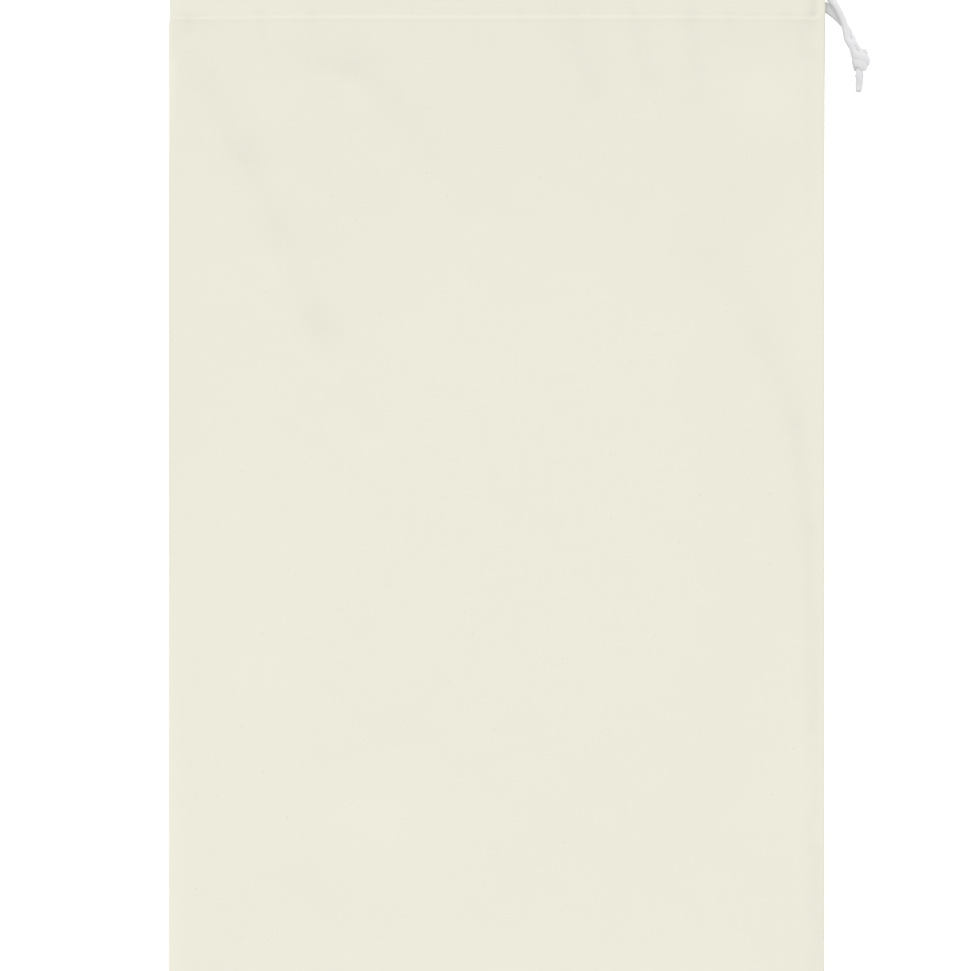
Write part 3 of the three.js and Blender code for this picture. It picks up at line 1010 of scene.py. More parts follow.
@dataclass
class ClothPanel:
    """One panel of the bag: its body, its folded mouth and its hem inside.

    Attributes:
        form: The bag's sizes and faces.
        side: Which panel it is.
        step: The spacing of the mesh over the body.
        thickness: The cloth's own thickness.
        turned: How thick the cloth is where an edge is turned in.
        allowance: How far the sides and the bottom are turned in.
        cut: How wide and how long the cloth is when it lies flat.
        fold: The radius of the fold at the mouth.
        turn_start: How far past the channel's left end the hem starts to turn to the other panel.
        turn_reach: How far across it turns.
        turn_gap: How far from the middle between the two hems it ends.
        edge_round: How far its rounded edges stand out, as a share of its thickness.
        hem_turned: How far the hem's turned-in edge is doubled, as a share.
    """

    form: BagForm
    side: Side
    step: float
    thickness: float = 0.45
    turned: float = 1.12
    allowance: float = 10.0
    cut: tuple[float, float] = (320.0, 505.0)
    fold: float = 0.5
    turn_start: float = 3.5
    turn_reach: float = 3.2
    turn_gap: float = 0.12
    edge_round: float = 0.45
    hem_turned: float = 0.67

    def across(self) -> Array:
        """Lay out the stations across the panel, close at its two ends.

        Returns:
            The stations.
        """
        half = self.form.half_width
        end = half - 0.5 * self.turned
        return stations(
            (-end, -half + 6, 0.8),
            (-half + 6, -half + 16, 1.3),
            (-half + 16, half - 14, self.step),
            (half - 14, half - 2, 1.1),
            (half - 2, end, 0.6),
        )

    def along(self) -> tuple[Array, Array]:
        """Lay out the stations along the panel, close round the channel.

        Returns:
            The stations up the outer face, and back down the hem's inner face.
        """
        form = self.form
        turn = form.mouth - self.fold
        outer = stations(
            (form.bottom + 0.5 * self.turned, form.bottom + 12, 1.6),
            (form.bottom + 12, form.seam - 60, self.step * 1.6),
            (form.seam - 60, form.seam - 16, self.step),
            (form.seam - 16, form.seam - 4, 1.3),
            (form.seam - 4, form.seam + 2.5, 0.45),
            (form.seam + 2.5, form.mouth - 5, 1.2),
            (form.mouth - 5, turn, 0.6),
        )
        inner = stations((turn, form.mouth - 4, 0.7), (form.mouth - 4, form.hem_edge + 0.3, 1.2))
        return outer, inner

    def inner_row(self, x: Array, y: float) -> Array:
        """Place a row of the hem's inner face, which turns to the other panel's at the left.

        Args:
            x: The stations across.
            y: The row's place along.

        Returns:
            The row's points.
        """
        form = self.form
        start = form.channel_end + self.turn_start
        share = np.clip((start - x) / (start + form.half_width), 0, 1)
        place = np.where(x < start, start - self.turn_reach * np.sin(share * math.pi / 2), x)
        height = form.panel_faces(self.side)[1](np.maximum(x, start), y)
        meeting = 0.5 * (form.front_inner(start, y) + form.back_inner(start, y))
        meeting += self.turn_gap if self.side is Side.FRONT else -self.turn_gap
        return joined(place, y, between(height, meeting, 1 - np.cos(share * math.pi / 2)))

    def faces(self) -> tuple[Array, Array, Array]:
        """Work out the points of the panel's outward face, row by row.

        Returns:
            The points, the cloth's thickness at each, and its flat pattern.
        """
        x = self.across()
        outer, inner = self.along()
        outer_face = self.form.panel_faces(self.side)[0]
        rows = [joined(x, y, outer_face(x, y)) for y in outer]
        hem = [self.inner_row(x, y) for y in inner]
        first, last = rows[-1], hem[0]
        for turn in np.linspace(0, math.pi, 9)[1:-1]:
            row = between(first, last, (1 - math.cos(turn)) / 2)
            row[:, 1] = outer[-1] + self.fold * math.sin(turn)
            rows.append(row)
        points = np.array(rows + hem)
        length = distances(points[:, len(x) // 2]) - self.cut[1] / 2
        pattern = np.stack(np.broadcast_arrays(x[None, :], length[:, None]), axis=2) * MM
        return points, self.depths(points, len(outer)), pattern

    def depths(self, points: Array, body_rows: int) -> Array:
        """Work out the cloth's thickness, double where an edge is turned in.

        Args:
            points: The outward face's points.
            body_rows: How many of its rows lie on the outer face.

        Returns:
            The thickness at each point.
        """
        form = self.form
        soft = 0.4
        doubled = np.zeros(points.shape[:2])
        x, y = points[:body_rows, :, 0], points[:body_rows, :, 1]
        inset = form.half_width - self.allowance
        right = smooth(x, inset - soft, inset + soft) * smooth(y, form.mouth - 3, form.mouth - 8)
        left = smooth(x, soft - inset, -soft - inset) * smooth(y, form.hem_edge, form.hem_edge - 1)
        top = form.bottom + self.allowance
        low = smooth(y, top + soft, top - soft)
        doubled[:body_rows] = np.maximum(np.maximum(left, right), low)
        y = points[body_rows:, :, 1]
        doubled[body_rows:] = self.hem_turned * smooth(y, form.hem_edge + 5, form.hem_edge + 4)
        return between(self.thickness, self.turned, doubled)

    def build(self) -> bpy.types.Object:
        """Build the panel as one closed sheet with rounded edges.

        Returns:
            The panel.
        """
        points, depths, pattern = self.faces()
        rows, columns = points.shape[:2]
        right = unit(np.gradient(points, axis=1))
        up = unit(np.gradient(points, axis=0))
        normals = unit(np.cross(right, up)) * (-1 if self.side is Side.BACK else 1)
        inner = points - normals * depths[..., None]
        number = np.arange(rows * columns).reshape(rows, columns)
        edge = np.concatenate([number[0], number[1:, -1], number[-1, -2::-1], number[-2:0:-1, 0]])
        row, column = np.divmod(edge, columns)
        out = right[row, column] * (1.0 * (column == columns - 1) - (column == 0))[:, None]
        out += up[row, column] * (1.0 * (row == rows - 1) - (row == 0))[:, None]
        rim = (points[row, column] + inner[row, column]) / 2
        rim += unit(out) * depths[row, column, None] * self.edge_round
        size = rows * columns
        after = np.roll(edge, -1)
        middle = 2 * size + np.arange(len(edge))
        beside = np.roll(middle, -1)
        strips = np.array([[edge, after, beside, middle], [middle, beside, after + size, edge + size]])
        faces = quads(number) + quads(number + size) + strips.transpose(2, 0, 1).reshape(-1, 4).tolist()
        everything = np.concatenate([points.reshape(-1, 3), inner.reshape(-1, 3), rim])
        flat = pattern.reshape(-1, 2)
        name = f"{self.side.value}_cloth"
        piece = mesh_object(name, everything, faces, np.concatenate([flat, flat, pattern[row, column]]))
        self.paint_light_and_shade(piece, everything, 2 * size)
        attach(piece, "root")
        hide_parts(f"{self.side.value}_panel")
        return piece

    def paint_light_and_shade(self, piece: bpy.types.Object, points: Array, faced: int) -> None:
        """Paint where shade and where light is painted into the cloth's colour.

        Args:
            piece: The panel.
            points: Its vertices, in millimetres.
            faced: How many of them are on its two faces; the rest are its edge.
        """
        x, y = points[:, 0], points[:, 1]
        painted_shade, painted_light = np.zeros(len(points)), np.zeros(len(points))
        if self.side is Side.FRONT:
            painted_shade[:faced] = self.form.painted_shade_at(x, y)[:faced]
            painted_light = self.form.painted_light_at(x, y)
        paint(piece, "painted_shade", painted_shade)
        paint(piece, "painted_light", painted_light)


@dataclass(frozen=True)
class OverhandKnot:
    """The overhand knot tied in both of the cord's ends together.

    Attributes:
        centre: Its middle.
        shift: How far its core lies across from its middle.
        lean: How far its core leans towards the strands where they come in.
        lean_start: How far before its middle the lean begins.
        strand: The cord's radius in the core, where the knot squeezes it.
        core: How far a strand's middle is from the axis in the core.
        flare: The same where it comes in and goes out.
        wrap: The same where it goes round.
        pitch: Half the length over which it goes round.
        reach: Half the length of the straight core.
        bulge: How far its turns stand out past the wraps.
        half: Half the knot's length.
        entry_angle: The angle at which the front strand comes in.
        twist: How far the strands turn round each other in the core.
        turn_angle: How far a strand turns between the core and the wraps.
        whole_angle: How far a strand turns from where it comes in to where it leaves.
        squeeze: How flat the wraps are pressed, as a share of the braid's own flattening.
    """

    centre: tuple[float, float, float] = (166.3, 195.1, 4.95)
    shift: float = -0.65
    lean: float = 0.6
    lean_start: float = 2.0
    strand: float = 1.6
    core: float = 1.35
    flare: float = 1.8
    wrap: float = 3.3
    pitch: float = 2.05
    reach: float = 1.2
    bulge: float = 1.85
    half: float = 6.2
    entry_angle: float = 135.0
    twist: float = 60.0
    turn_angle: float = 100.0
    whole_angle: float = 505.0
    squeeze: float = 1.4

    @property
    def twist_rate(self) -> float:
        """How far the strands turn round each other along each millimetre of the core."""
        return self.twist / (2 * self.half)

    def core_line(self, along: Array, outward: Array) -> Array:
        """Return how far across the knot's core lies, less where a strand is outward of it."""
        past = along + self.lean_start
        return self.shift * (1 - outward) + self.lean / 2 * (past - np.hypot(past, 1))

    def place(self, along: float, radius: float, degrees: float, outward: float = 0.0) -> Array:
        """Place a point of the knot.

        Args:
            along: How far along the knot it is, from the knot's middle.
            radius: How far it is out from the axis.
            degrees: Its angle round the axis.
            outward: 0 in the core and 1 in the wraps.

        Returns:
            The point, and outward after it.
        """
        angle = math.radians(degrees)
        across = radius * math.cos(angle) + self.core_line(along, outward)
        x, y, z = self.centre
        return np.array([x + across, y - along, z + radius * math.sin(angle), outward])

    def outwards(self, points: Array, outward: Array) -> Array:
        """Work out the direction out of the knot's core.

        Args:
            points: Points of a strand.
            outward: For each, 0 in the core and 1 in the wraps.

        Returns:
            The direction at each point.
        """
        x, y, z = self.centre
        away = points[:, 0] - x - self.core_line(y - points[:, 1], outward)
        return unit(joined(away, 0.0, points[:, 2] - z))

    def core_at(self, along: float) -> float:
        """Return how far out a strand lies in the knot's core."""
        return between(self.core, self.flare, smooth(abs(along), self.reach, self.half))

    def turn(self, side: int, start: float, angle: float) -> list[Array]:
        """Lay a strand's turn between the core and the wraps.

        Args:
            side: 1 for the turn past the knot's middle and -1 for the one before it.
            start: The angle at which it leaves the core.
            angle: How far it turns.

        Returns:
            Its points, from the core outwards.
        """
        points = []
        for part in (0.25, 0.5, 0.75):
            outward = smooth(part, 0, 1)
            along = between(self.reach, self.pitch, part) + self.bulge * math.sin(math.pi * part)
            radius = between(self.core, self.wrap, outward)
            points.append(self.place(side * along, radius, start + angle * part, outward))
        return points

    def passage(self, start: float) -> list[Array]:
        """Lay one strand through the knot.

        Args:
            start: The angle at which it comes in, in degrees.

        Returns:
            Its points: in along the core, out and once round, in again and out.
        """
        finish = start + self.whole_angle
        going = start + self.twist_rate * (self.half + self.reach)
        coming = finish - self.twist_rate * (self.half + self.reach)
        wound = coming - going - 2 * self.turn_angle
        points = []
        for at in np.linspace(-self.half, self.reach, 5):
            points.append(self.place(at, self.core_at(at), start + self.twist_rate * (self.half + at)))
        points += self.turn(1, going, self.turn_angle)
        for share in np.linspace(0, 1, 13):
            angle = going + self.turn_angle + wound * share
            points.append(self.place(self.pitch * (1 - 2 * share), self.wrap, angle, 1.0))
        points += reversed(self.turn(-1, coming, -self.turn_angle))
        for at in np.linspace(-self.reach, self.half, 5):
            points.append(self.place(at, self.core_at(at), finish - self.twist_rate * (self.half - at)))
        return points

    def meeting(self, side: int, angle: float, gap: float) -> list[Array]:
        """Lay the two points past the knot's end where a strand lines up with it.

        Args:
            side: 1 past the knot's middle and -1 before it.
            angle: The strand's angle at the knot's end.
            gap: The play between the solids.

        Returns:
            The points, from the knot outwards.
        """
        turn = side * self.twist_rate
        return [
            self.place(side * (self.half + away), self.flare, angle + turn * away)
            for away in (1.5 * gap, 4.5 * gap)
        ]


# The cord's way from the slit to the knot, and from the knot to its tips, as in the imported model
FRONT_STRAND = (
    (146.3, 225.3, 5.5), (148.5, 225.3, 5.5), (150.8, 224.9, 5.5), (152.7, 223, 5.6),
    (154.3, 220.6, 5.8), (155.8, 218.1, 5.75), (157.1, 215.6, 5.6), (158.1, 213.3, 5.5),
    (158.8, 211.1, 5.45), (159.3, 208.8, 5.5), (159.7, 206.5, 5.7), (160.2, 204.2, 5.95),
)
BACK_STRAND = (
    (146.3, 219.6, 2.9), (148.5, 219.6, 2.9), (150.5, 219.3, 2.8), (152.5, 217.8, 2.4),
    (154.4, 215.8, 2), (156.3, 213.8, 1.75), (158.2, 211.8, 1.65), (159.9, 209.9, 1.65),
    (161.2, 208, 1.85), (162.1, 206.1, 2.4), (162.8, 204.3, 3.05),
)
FRONT_TAIL = ((165.9, 186.4, 2.6), (165.9, 184.8, 1.95), (165.8, 183.4, 1.7), (165.7, 182, 1.65))
BACK_TAIL = ((165.4, 186.4, 6.3), (165.3, 184.5, 5.6), (165.3, 182.7, 5.25), (165.3, 180.9, 5.15))


def smooth_line(points: Array, step: float) -> Array:
    """Draw a smooth curve through points, tight round close ones, and space it evenly.

    Args:
        points: The points it goes through, and any values that go with them.
        step: The spacing wanted.

    Returns:
        The evenly spaced points, with their values.
    """
    chain = np.concatenate([[2 * points[0] - points[1]], points, [2 * points[-1] - points[-2]]])
    drawn = []
    for i in range(1, len(chain) - 2):
        p = chain[i - 1:i + 3]
        t = np.concatenate([[0], np.cumsum(np.sqrt(np.diff(distances(p))))])
        for share in np.linspace(0, 1, 13)[:-1]:
            at = between(t[1], t[2], share)
            level = p
            for span in (1, 2):
                level = [
                    between(level[k], level[k + 1], (at - t[k]) / (t[k + span] - t[k]))
                    for k in range(4 - span)
                ]
            drawn.append(between(*level, share))
    drawn = np.array(drawn + [chain[-2]])
    far = distances(drawn)
    even = np.linspace(0, far[-1], max(2, round(far[-1] / step)) + 1)
    return np.stack([np.interp(even, far, column) for column in drawn.T], axis=1)


@dataclass(frozen=True)
class Braid:
    """A round braid of fine cotton yarns.

    Attributes:
        yarns: How many yarns go round each way.
        turn: The length of cord in which a yarn goes once round.
        relief: How far a yarn stands out, as a share of the radius.
        sides: How many points there are round the cord.
        step: The spacing of the rings of points.
        flattened: How much thinner the cord is where it is pressed fully.
        widened: How much wider it is there.
        cut_round: How long the rounding of its cut ends is, as a share of the radius.
        cut_edge: How much smaller its section is at the cut, as a share.
        shadow: How deep the shade painted into the crevices is.
        shadow_edge: How sharply that fades out of the crevices.
        cut_shadow: How deep the painted shade is in the middle of a cut.
    """

    yarns: int = 10
    turn: float = 13.0
    relief: float = 0.075
    sides: int = 60
    step: float = 0.24
    flattened: float = 0.24
    widened: float = 0.28
    cut_round: float = 0.25
    cut_edge: float = 0.25
    shadow: float = 0.7
    shadow_edge: float = 1.6
    cut_shadow: float = 0.2

    def height(self, along: Array, angle: Array) -> Array:
        """Work out how far the yarns stand out.

        Args:
            along: Places along the cord.
            angle: Angles round it.

        Returns:
            The height at each, from 0 in a crevice to 1.
        """
        wound = 2 * math.pi * along / self.turn
        first, second = (np.sin(self.yarns * (angle + way * wound) / 2) for way in (1, -1))
        over = 0.45 * first * second
        return np.maximum(np.abs(first) * (0.55 + over), np.abs(second) * (0.55 - over))

    def directions(self, line: Array) -> tuple[Array, Array]:
        """Carry two directions across a line along it, without twisting them round it.

        Args:
            line: The line.

        Returns:
            The directions at each of its points.
        """
        tangents = unit(np.gradient(line, axis=0))
        aside = [unit(np.cross(tangents[0], UP))]
        for tangent in tangents[1:]:
            aside.append(unit(aside[-1] - tangent * np.dot(aside[-1], tangent)))
        return np.array(aside), np.cross(tangents, aside)

    def tube(self, name: str, line: Array, radii: Array, pressed: Array) -> bpy.types.Object:
        """Build the braided tube along a line, with rounded cut ends and nothing below the floor.

        Args:
            name: The piece's name.
            line: Its evenly spaced middle line.
            radii: Its radius at each point of the line.
            pressed: The way in which the cord is pressed flat at each point, as long as the
                share by which it is, or zero where it is round.

        Returns:
            The cord, with the shade painted into its crevices in an attribute.
        """
        aside, ups = self.directions(line)
        far = distances(line)
        angle = np.linspace(0, 2 * math.pi, self.sides, endpoint=False)
        grid_far, grid_angle = np.meshgrid(far, angle, indexing="ij")
        stand = self.height(grid_far, grid_angle)
        to_end = np.clip(np.minimum(far, far[-1] - far) / (self.cut_round * radii), 0, 1)
        rounded = radii * np.sqrt(1 - self.cut_edge * (1 - to_end) ** 2)
        radius = rounded[:, None] * (1 - self.relief + self.relief * stand)
        turn = grid_angle[..., None]
        out = np.cos(turn) * aside[:, None, :] + np.sin(turn) * ups[:, None, :]
        share = np.linalg.norm(pressed, axis=1)[:, None, None]
        way = pressed[:, None, :] / np.maximum(share, 1e-6)
        into = (out * way).sum(axis=2, keepdims=True) * way
        out = out * (1 + self.widened * share) - into * (self.widened + self.flattened) * share
        points = line[:, None, :] + radius[..., None] * out
        points[..., 2] = np.maximum(points[..., 2], 0.0)
        number = np.arange(radius.size).reshape(radius.shape)
        closed = np.column_stack([number, number[:, 0]])
        faces = quads(closed)
        for here, there, first, last in zip(closed[0], closed[0, 1:], closed[-1], closed[-1, 1:]):
            faces.append([radius.size, int(there), int(here)])
            faces.append([radius.size + 1, int(first), int(last)])
        everything = np.concatenate([points.reshape(-1, 3), line[[0, -1]]])
        flat = np.stack([grid_far, grid_angle * radii.mean()], axis=2).reshape(-1, 2) * MM
        piece = mesh_object(name, everything, faces, np.concatenate([flat, flat[:1], flat[-1:]]))
        # Painted shade, deepest in the crevices between the yarns and in the middle of each cut.
        crevice_shade = self.shadow * (1 - stand.ravel()) ** self.shadow_edge
        paint(piece, "crevice_shade", np.concatenate([crevice_shade, [self.cut_shadow] * 2]))
        return piece


@dataclass
class Drawstring:
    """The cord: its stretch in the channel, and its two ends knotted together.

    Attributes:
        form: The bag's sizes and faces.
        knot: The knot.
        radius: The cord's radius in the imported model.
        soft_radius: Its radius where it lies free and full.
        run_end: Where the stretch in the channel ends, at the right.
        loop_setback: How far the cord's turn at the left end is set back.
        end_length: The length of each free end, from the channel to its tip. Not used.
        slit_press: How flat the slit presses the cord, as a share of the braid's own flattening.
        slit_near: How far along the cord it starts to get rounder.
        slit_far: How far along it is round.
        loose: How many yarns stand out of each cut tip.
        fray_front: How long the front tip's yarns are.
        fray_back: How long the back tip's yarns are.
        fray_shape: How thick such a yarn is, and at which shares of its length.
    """

    form: BagForm
    knot: OverhandKnot = field(default_factory=OverhandKnot)
    radius: float = 1.6
    soft_radius: float = 1.68
    run_end: float = 146.0
    loop_setback: float = 2.4
    end_length: float = 78.0
    slit_press: float = 1.5
    slit_near: float = 4.5
    slit_far: float = 12.0
    loose: int = 26
    fray_front: float = 0.6
    fray_back: float = 1.1
    fray_shape: tuple[tuple[float, float], ...] = ((0.0, 0.17), (0.5, 0.16), (0.85, 0.12), (1.0, 0.05))

    def channel_line(self) -> Array:
        """Lay the cord's way in the channel.

        Returns:
            Its points, along the front to the left end and back along the rear.
        """
        form = self.form
        x = np.linspace(form.channel_end, self.run_end, 40)
        depth = form.sheet + form.gap + self.radius
        front = joined(x, form.cord_line(form.front_run, x), form.hem_top(x) - depth)[::-1]
        back = joined(x, form.cord_line(form.back_run, x), depth)
        half = (front[-1] - back[0]) / 2
        x, y, z = (front[-1] + back[0]) / 2
        turn = np.linspace(0, math.pi, 9)
        aside = x - self.loop_setback - half[1] * np.sin(turn)
        loop = joined(aside, y + half[1] * np.cos(turn), z + half[2] * np.cos(turn))
        return np.concatenate([front, loop, back])

    def in_channel(self) -> bpy.types.Object:
        """Build the stretch in the channel.

        Returns:
            The cord, with a coarse braid, because it doesn't show.
        """
        braid = Braid(sides=24, step=0.8, relief=0.03)
        line = smooth_line(self.channel_line(), braid.step)
        piece = braid.tube("cord_in_channel", line, np.full(len(line), self.radius), np.zeros_like(line))
        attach(piece, "root")
        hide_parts("drawstring")
        return piece

    def end(self, side: Side) -> list[bpy.types.Object]:
        """Build one free end: out of the channel, through the knot and on to its frayed tip.

        Args:
            side: Which half of the channel it comes out of.

        Returns:
            The cord's end and its loose yarns.
        """
        front = side is Side.FRONT
        knot = self.knot
        strand, tail = (FRONT_STRAND, FRONT_TAIL) if front else (BACK_STRAND, BACK_TAIL)
        start = knot.entry_angle + (0 if front else 180)
        coming = [(*point, 0.0) for point in strand] + knot.meeting(-1, start, self.form.gap)[::-1]
        going = knot.meeting(1, start + knot.whole_angle, self.form.gap) + [(*point, 0.0) for point in tail]
        points = np.array([*coming, *knot.passage(start), *going])
        radii = np.full(len(points), self.soft_radius)
        held = slice(len(coming), len(points) - len(going))
        radii[held] = between(knot.strand, self.radius, points[held, 3])
        braid = Braid()
        line = smooth_line(np.column_stack([points, radii]), braid.step)
        centre, outward, radii = line[:, :3], np.clip(line[:, 3], 0, 1), line[:, 4]
        pressed = knot.squeeze * knot.outwards(centre, outward) * outward[:, None]
        far = braid.step * np.arange(len(line))
        pressed[:, 2] += self.slit_press * smooth(far, self.slit_far, self.slit_near)
        piece = braid.tube(f"cord_{side.value}", centre, radii, pressed)
        fray = self.fray(side, centre[-1], centre[-1] - centre[-4])
        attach(piece, "root")
        nodes = [f"strand_{side.value}", f"tail_{side.value}"]
        if front:
            nodes.append("knot")
        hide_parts(*nodes)
        return [piece, fray]

    def fray(self, side: Side, tip: Array, way: Array) -> bpy.types.Object:
        """Build the yarns that stand out of a cut tip.

        Args:
            side: Which of the two ends it is.
            tip: The middle of the cut.
            way: The direction in which the cord leaves it.

        Returns:
            The yarns as one piece.
        """
        way = unit(way)
        across = unit(np.cross(way, UP))
        up = np.cross(across, way)
        golden, floor, shadow = math.radians(137.5), 0.05, 0.15
        loose = self.fray_front if side is Side.FRONT else self.fray_back
        points, faces = [], []
        for k in range(self.loose):
            out = across * math.cos(k * golden) + up * math.sin(k * golden)
            at = tip + out * 0.78 * self.radius * math.sqrt((k + 0.5) / self.loose) - way * 0.5
            length = loose + 0.3 * math.sin(2.4 * k) + 0.15 * math.sin(5.1 * k)
            bend = out * (0.16 + 0.14 * math.sin(1.7 * k)) + across * 0.12 * math.sin(3.3 * k)
            number = len(points) + np.arange(16).reshape(4, 4)
            for share, thick in self.fray_shape:
                middle = at + (way * share + bend * share**2) * length
                for turn in np.linspace(0, 2 * math.pi, 4, endpoint=False):
                    points.append(middle + thick * (across * math.cos(turn) + up * math.sin(turn)))
            faces.append(number[0, ::-1].tolist())
            faces += quads(np.column_stack([number, number[:, 0]]))
            faces.append(number[-1].tolist())
        points = np.array(points)
        points[:, 2] = np.maximum(points[:, 2], floor)
        piece = mesh_object(f"fray_{side.value}", points, faces, points[:, :2] * MM)
        # The loose yarns get a little painted shade.
        paint(piece, "crevice_shade", np.full(len(points), shadow))
        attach(piece, "root")
        return piece


@dataclass
class Stitching:
    """Lockstitches in white cotton thread.

    Attributes:
        form: The bag's sizes and faces.
        length: The length of one stitch on the face.
        pitch: The distance from stitch to stitch.
        thread: The thread's radius.
        cuts: How many times the model of a stitch is divided along its length.
        dip: How far its ends are pulled in, in thread radii.
        dip_edge: How close to its ends that keeps.
        fat: How wide it is in its middle, in thread widths.
        taper: How much narrower its ends are.
        wander: How far a row strays from its line.
        bars: How many rows lie across the slit's end.
        bar_step: The distance between them.
        groove: How far in from the bag's edge the threads of the edge seam lie.
    """

    form: BagForm
    length: float = 2.3
    pitch: float = 2.8
    thread: float = 0.17
    cuts: int = 4
    dip: float = 1.9
    dip_edge: float = 2.6
    fat: float = 1.15
    taper: float = 0.3
    wander: float = 0.11
    bars: int = 5
    bar_step: float = 0.42
    groove: float = 0.26

    def model(self) -> bpy.types.Mesh:
        """Model one stitch, lying along X, with both ends pulled into the cloth.

        Returns:
            The stitch's mesh.
        """
        deselect_all()
        bpy.ops.mesh.primitive_cylinder_add(
            vertices=6,
            radius=self.thread * MM,
            depth=self.length * MM,
            end_fill_type="TRIFAN",
            rotation=(0, math.pi / 2, 0),
        )
        stitch = bpy.context.active_object
        bpy.ops.object.transform_apply(location=True, rotation=True, scale=True)
        bpy.ops.object.mode_set(mode="EDIT")
        bpy.ops.mesh.select_mode(type="EDGE")
        bpy.ops.mesh.select_all(action="DESELECT")
        shape = bmesh.from_edit_mesh(stitch.data)
        for edge in shape.edges:
            first, last = (vertex.co.x for vertex in edge.verts)
            edge.select_set(abs(first - last) > 0.9 * self.length * MM)
        bmesh.update_edit_mesh(stitch.data)
        bpy.ops.mesh.subdivide(number_cuts=self.cuts)
        bpy.ops.object.mode_set(mode="OBJECT")
        for vertex in stitch.data.vertices:
            share = abs(vertex.co.x) / (self.length * MM / 2)
            vertex.co.z -= self.dip * self.thread * MM * share**self.dip_edge
            vertex.co.y *= self.fat - self.taper * share
        mesh = stitch.data.copy()
        bpy.data.objects.remove(stitch)
        return mesh

    def row(self, name: str, places: list[tuple[Array, Array, Array]]) -> bpy.types.Object:
        """Copy the stitch to every place of a seam.

        Args:
            name: The seam's name.
            places: For each stitch its middle, its direction and the way it faces.

        Returns:
            The seam's thread as one piece.
        """
        model = self.model()
        base = np.array([vertex.co[:] for vertex in model.vertices]) / MM
        rounds = [list(polygon.vertices) for polygon in model.polygons]
        bpy.data.meshes.remove(model)
        points, faces = [], []
        for count, (middle, direction, facing) in enumerate(places):
            direction = unit(direction)
            facing = unit(facing - direction * np.dot(facing, direction))
            points.append(base @ np.stack([direction, np.cross(facing, direction), facing]) + middle)
            faces += [[v + count * len(base) for v in face] for face in rounds]
        everything = np.concatenate(points)
        piece = mesh_object(name, everything, faces, everything[:, :2] * MM)
        paint(piece, "crevice_shade", np.zeros(len(everything)))
        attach(piece, "root")
        return piece

    def along(
        self, start: tuple[float, float], end: tuple[float, float], height: Callable[..., Array],
        sink: float, facing: float,
    ) -> list[tuple[Array, Array, Array]]:
        """Place stitches along a line on a face.

        Args:
            start: Where the line starts, across and along the bag.
            end: Where it ends.
            height: The face, as a function of the places across and along.
            sink: How far the thread's middle lies from the face, into the cloth.
            facing: 1 where the face looks up and -1 where it looks down.

        Returns:
            For each stitch its middle, its direction and the way it faces.
        """
        start, end = np.array(start), np.array(end)
        far = np.linalg.norm(end - start)
        way = (end - start) / far
        aside = np.array([-way[1], way[0]])
        places = []
        for i in range(int(far / self.pitch)):
            middle = start + way * (i + 0.5) * self.pitch + aside * self.wander * math.sin(i / 5.7)
            before, after = middle - way, middle + way
            low, high = height(*np.stack([before, after], axis=1)) - sink * facing
            direction = np.array([*(after - before), high - low])
            places.append((np.array([*middle, (low + high) / 2]), direction, np.array([0.0, 0.0, facing])))
        return places

    def channel_seam(self, side: Side) -> bpy.types.Object:
        """Stitch the channel on one panel's outer and inner faces, and the end of its slit.

        Args:
            side: Which panel it is.

        Returns:
            The seam's thread.
        """
        form = self.form
        outer, inner = form.panel_faces(side)
        up = 1.0 if side is Side.FRONT else -1.0
        left, right = 5 - form.half_width, form.half_width - form.slit_inset
        places = self.along((left, form.seam), (right, form.seam), outer, 0.08, up)
        places += self.along((form.channel_end + 8, form.seam), (right, form.seam), inner, -0.06, -up)
        places += self.along((right, form.seam + 1), (right, form.mouth - 1.5), outer, 0.05, up)
        for row in range(self.bars):
            y = form.seam - 1.3 + self.bar_step * row
            places += self.along((right + 0.6, y), (right + 0.7 + self.pitch, y), outer, 0.0, up)
        return self.row(f"channel_stitches_{side.value}", places)

    def edge_seam(self) -> bpy.types.Object:
        """Build the threads that show in the groove where the two panels are sewn together.

        Returns:
            The seam's thread.
        """
        form = self.form
        joint = form.seam_top / 2
        places = []
        for side in (-1.0, 1.0):
            for y in np.arange(form.bottom + 3, form.seam - 3, self.pitch):
                middle = np.array([side * (form.half_width - self.groove), y, joint])
                places.append((middle, np.array([0.0, 0.3, 1.0]), np.array([side, 0.0, 0.0])))
        for x in np.arange(3 - form.half_width, form.half_width - 3, self.pitch):
            middle = np.array([x, form.bottom + self.groove, joint])
            places.append((middle, np.array([0.3, 0.0, 1.0]), np.array([0.0, -1.0, 0.0])))
        return self.row("edge_stitches", places)


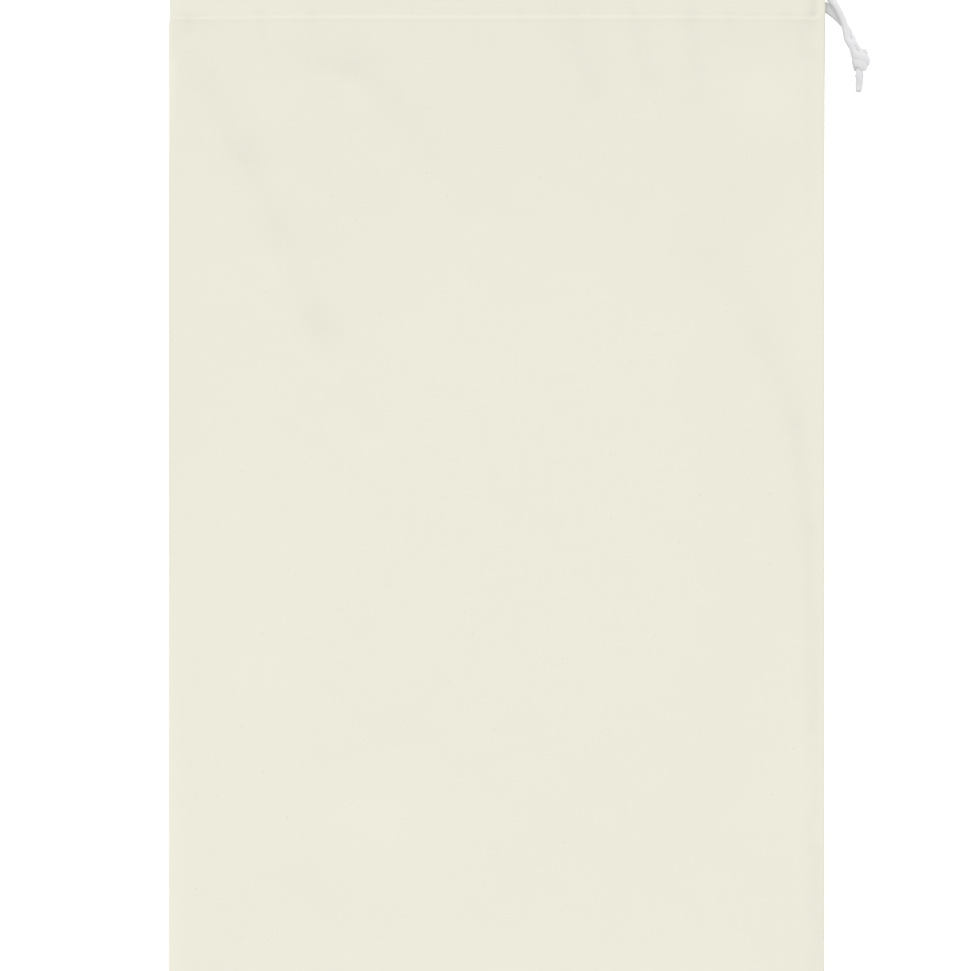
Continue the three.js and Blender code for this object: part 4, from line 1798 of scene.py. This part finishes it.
@dataclass(frozen=True)
class Studio:
    """The floor, the lights and the camera.

    Attributes:
        level: How high the bag's outline lies, at its side seams.
        distance: How far the camera is above that.
        pixel: The size of one pixel of the picture there.
        centre: The point in the middle of the picture.
        sensor: The camera sensor's width.
        sky: How strong the light from all round is.
        sun: How strong the soft light from the mouth's side is.
        sun_height: How high that light stands, in degrees.
        sun_turn: How far it is turned to the left.
        sun_width: How wide it is, which softens its shadows.
        table_glow: How much the floor glows.
        table_size: How wide the floor is, in metres.
    """

    level: float = 2.3
    distance: float = 3000.0
    pixel: float = 0.4569
    centre: tuple[float, float] = (-5.3, 0.8)
    sensor: float = 36.0
    sky: float = 0.688
    sun: float = 1.55
    sun_height: float = 63.0
    sun_turn: float = 13.0
    sun_width: float = 50.0
    table_glow: float = 0.75
    table_size: float = 12.0

    def camera(self) -> None:
        """Set the camera straight above the bag."""
        data = bpy.data.cameras.new("camera")
        data.sensor_fit = "HORIZONTAL"
        data.sensor_width = self.sensor
        data.lens = self.sensor * self.distance / (self.pixel * IMAGE_WIDTH)
        data.clip_start = 0.1
        data.clip_end = 20.0
        camera = bpy.data.objects.new("camera", data)
        camera.location = (self.centre[0] * MM, self.centre[1] * MM, (self.level + self.distance) * MM)
        bpy.context.scene.collection.objects.link(camera)
        bpy.context.scene.camera = camera

    def floor(self) -> None:
        """Lay the plain pale floor, a light table that glows a little from below."""
        deselect_all()
        bpy.ops.mesh.primitive_plane_add(size=self.table_size, location=(0, 0, 0))
        floor = bpy.context.active_object
        floor.name = "floor"
        material = bpy.data.materials.new("pale_floor")
        material.use_nodes = True
        surface = {
            "Base Color": (0.96, 0.96, 0.96, 1.0),
            "Roughness": 0.9,
            "Specular IOR Level": 0.0,
            "Emission Color": (1.0, 1.0, 1.0, 1.0),
            "Emission Strength": self.table_glow,
        }
        for label, value in surface.items():
            material.node_tree.nodes["Principled BSDF"].inputs[label].default_value = value
        floor.data.materials.append(material)

    def lights(self) -> None:
        """Light the bag evenly from all round, and softly from the mouth's side."""
        scene = bpy.context.scene
        scene.view_settings.view_transform = "Standard"
        world = bpy.data.worlds.new("studio")
        world.use_nodes = True
        background = world.node_tree.nodes["Background"]
        background.inputs["Color"].default_value = (1.0, 1.0, 1.0, 1.0)
        background.inputs["Strength"].default_value = self.sky
        scene.world = world
        data = bpy.data.lights.new("key", "SUN")
        data.energy = self.sun
        data.angle = math.radians(self.sun_width)
        key = bpy.data.objects.new("key", data)
        height, turn = math.radians(self.sun_height), math.radians(self.sun_turn)
        flat = math.cos(height)
        key.location = (-flat * math.sin(turn), flat * math.cos(turn), math.sin(height))
        key.rotation_euler = aim_at(-np.array(key.location))
        scene.collection.objects.link(key)


def aim_at(direction: Array) -> tuple[float, float, float]:
    """Return the rotation that points a light along a direction."""
    flat = math.hypot(direction[0], direction[1])
    return (math.atan2(flat, -direction[2]), 0.0, math.atan2(direction[1], direction[0]) - math.pi / 2)


def main() -> None:
    """Build the studio and the bag in order, and report each piece."""
    logging.basicConfig(level=logging.INFO, format="%(name)s: %(message)s")
    studio = Studio()
    studio.camera()
    form = BagForm.from_frame()
    string = Drawstring(form)
    cotton = UNDYED_COTTON.material(plain_weave_group())
    fibre = cotton_fibre_group()
    braided, thread = BRAIDED_COTTON.material(fibre), SEWING_THREAD.material(fibre)
    pieces = [(piece, braided) for side in Side for piece in string.end(side)]
    pieces.append((string.in_channel(), braided))
    stitching = Stitching(form)
    for side, step in ((Side.BACK, 3.0), (Side.FRONT, 1.8)):
        pieces.append((ClothPanel(form, side, step).build(), cotton))
        pieces.append((stitching.channel_seam(side), thread))
    pieces.append((Stitching(form, length=0.9, pitch=2.6, thread=0.11).edge_seam(), thread))
    for piece, finish in pieces:
        piece.data.materials.append(finish)
        log.info("%s has %d faces", piece.name, len(piece.data.polygons))
    studio.floor()
    studio.lights()


if __name__ == "__main__":
    main()
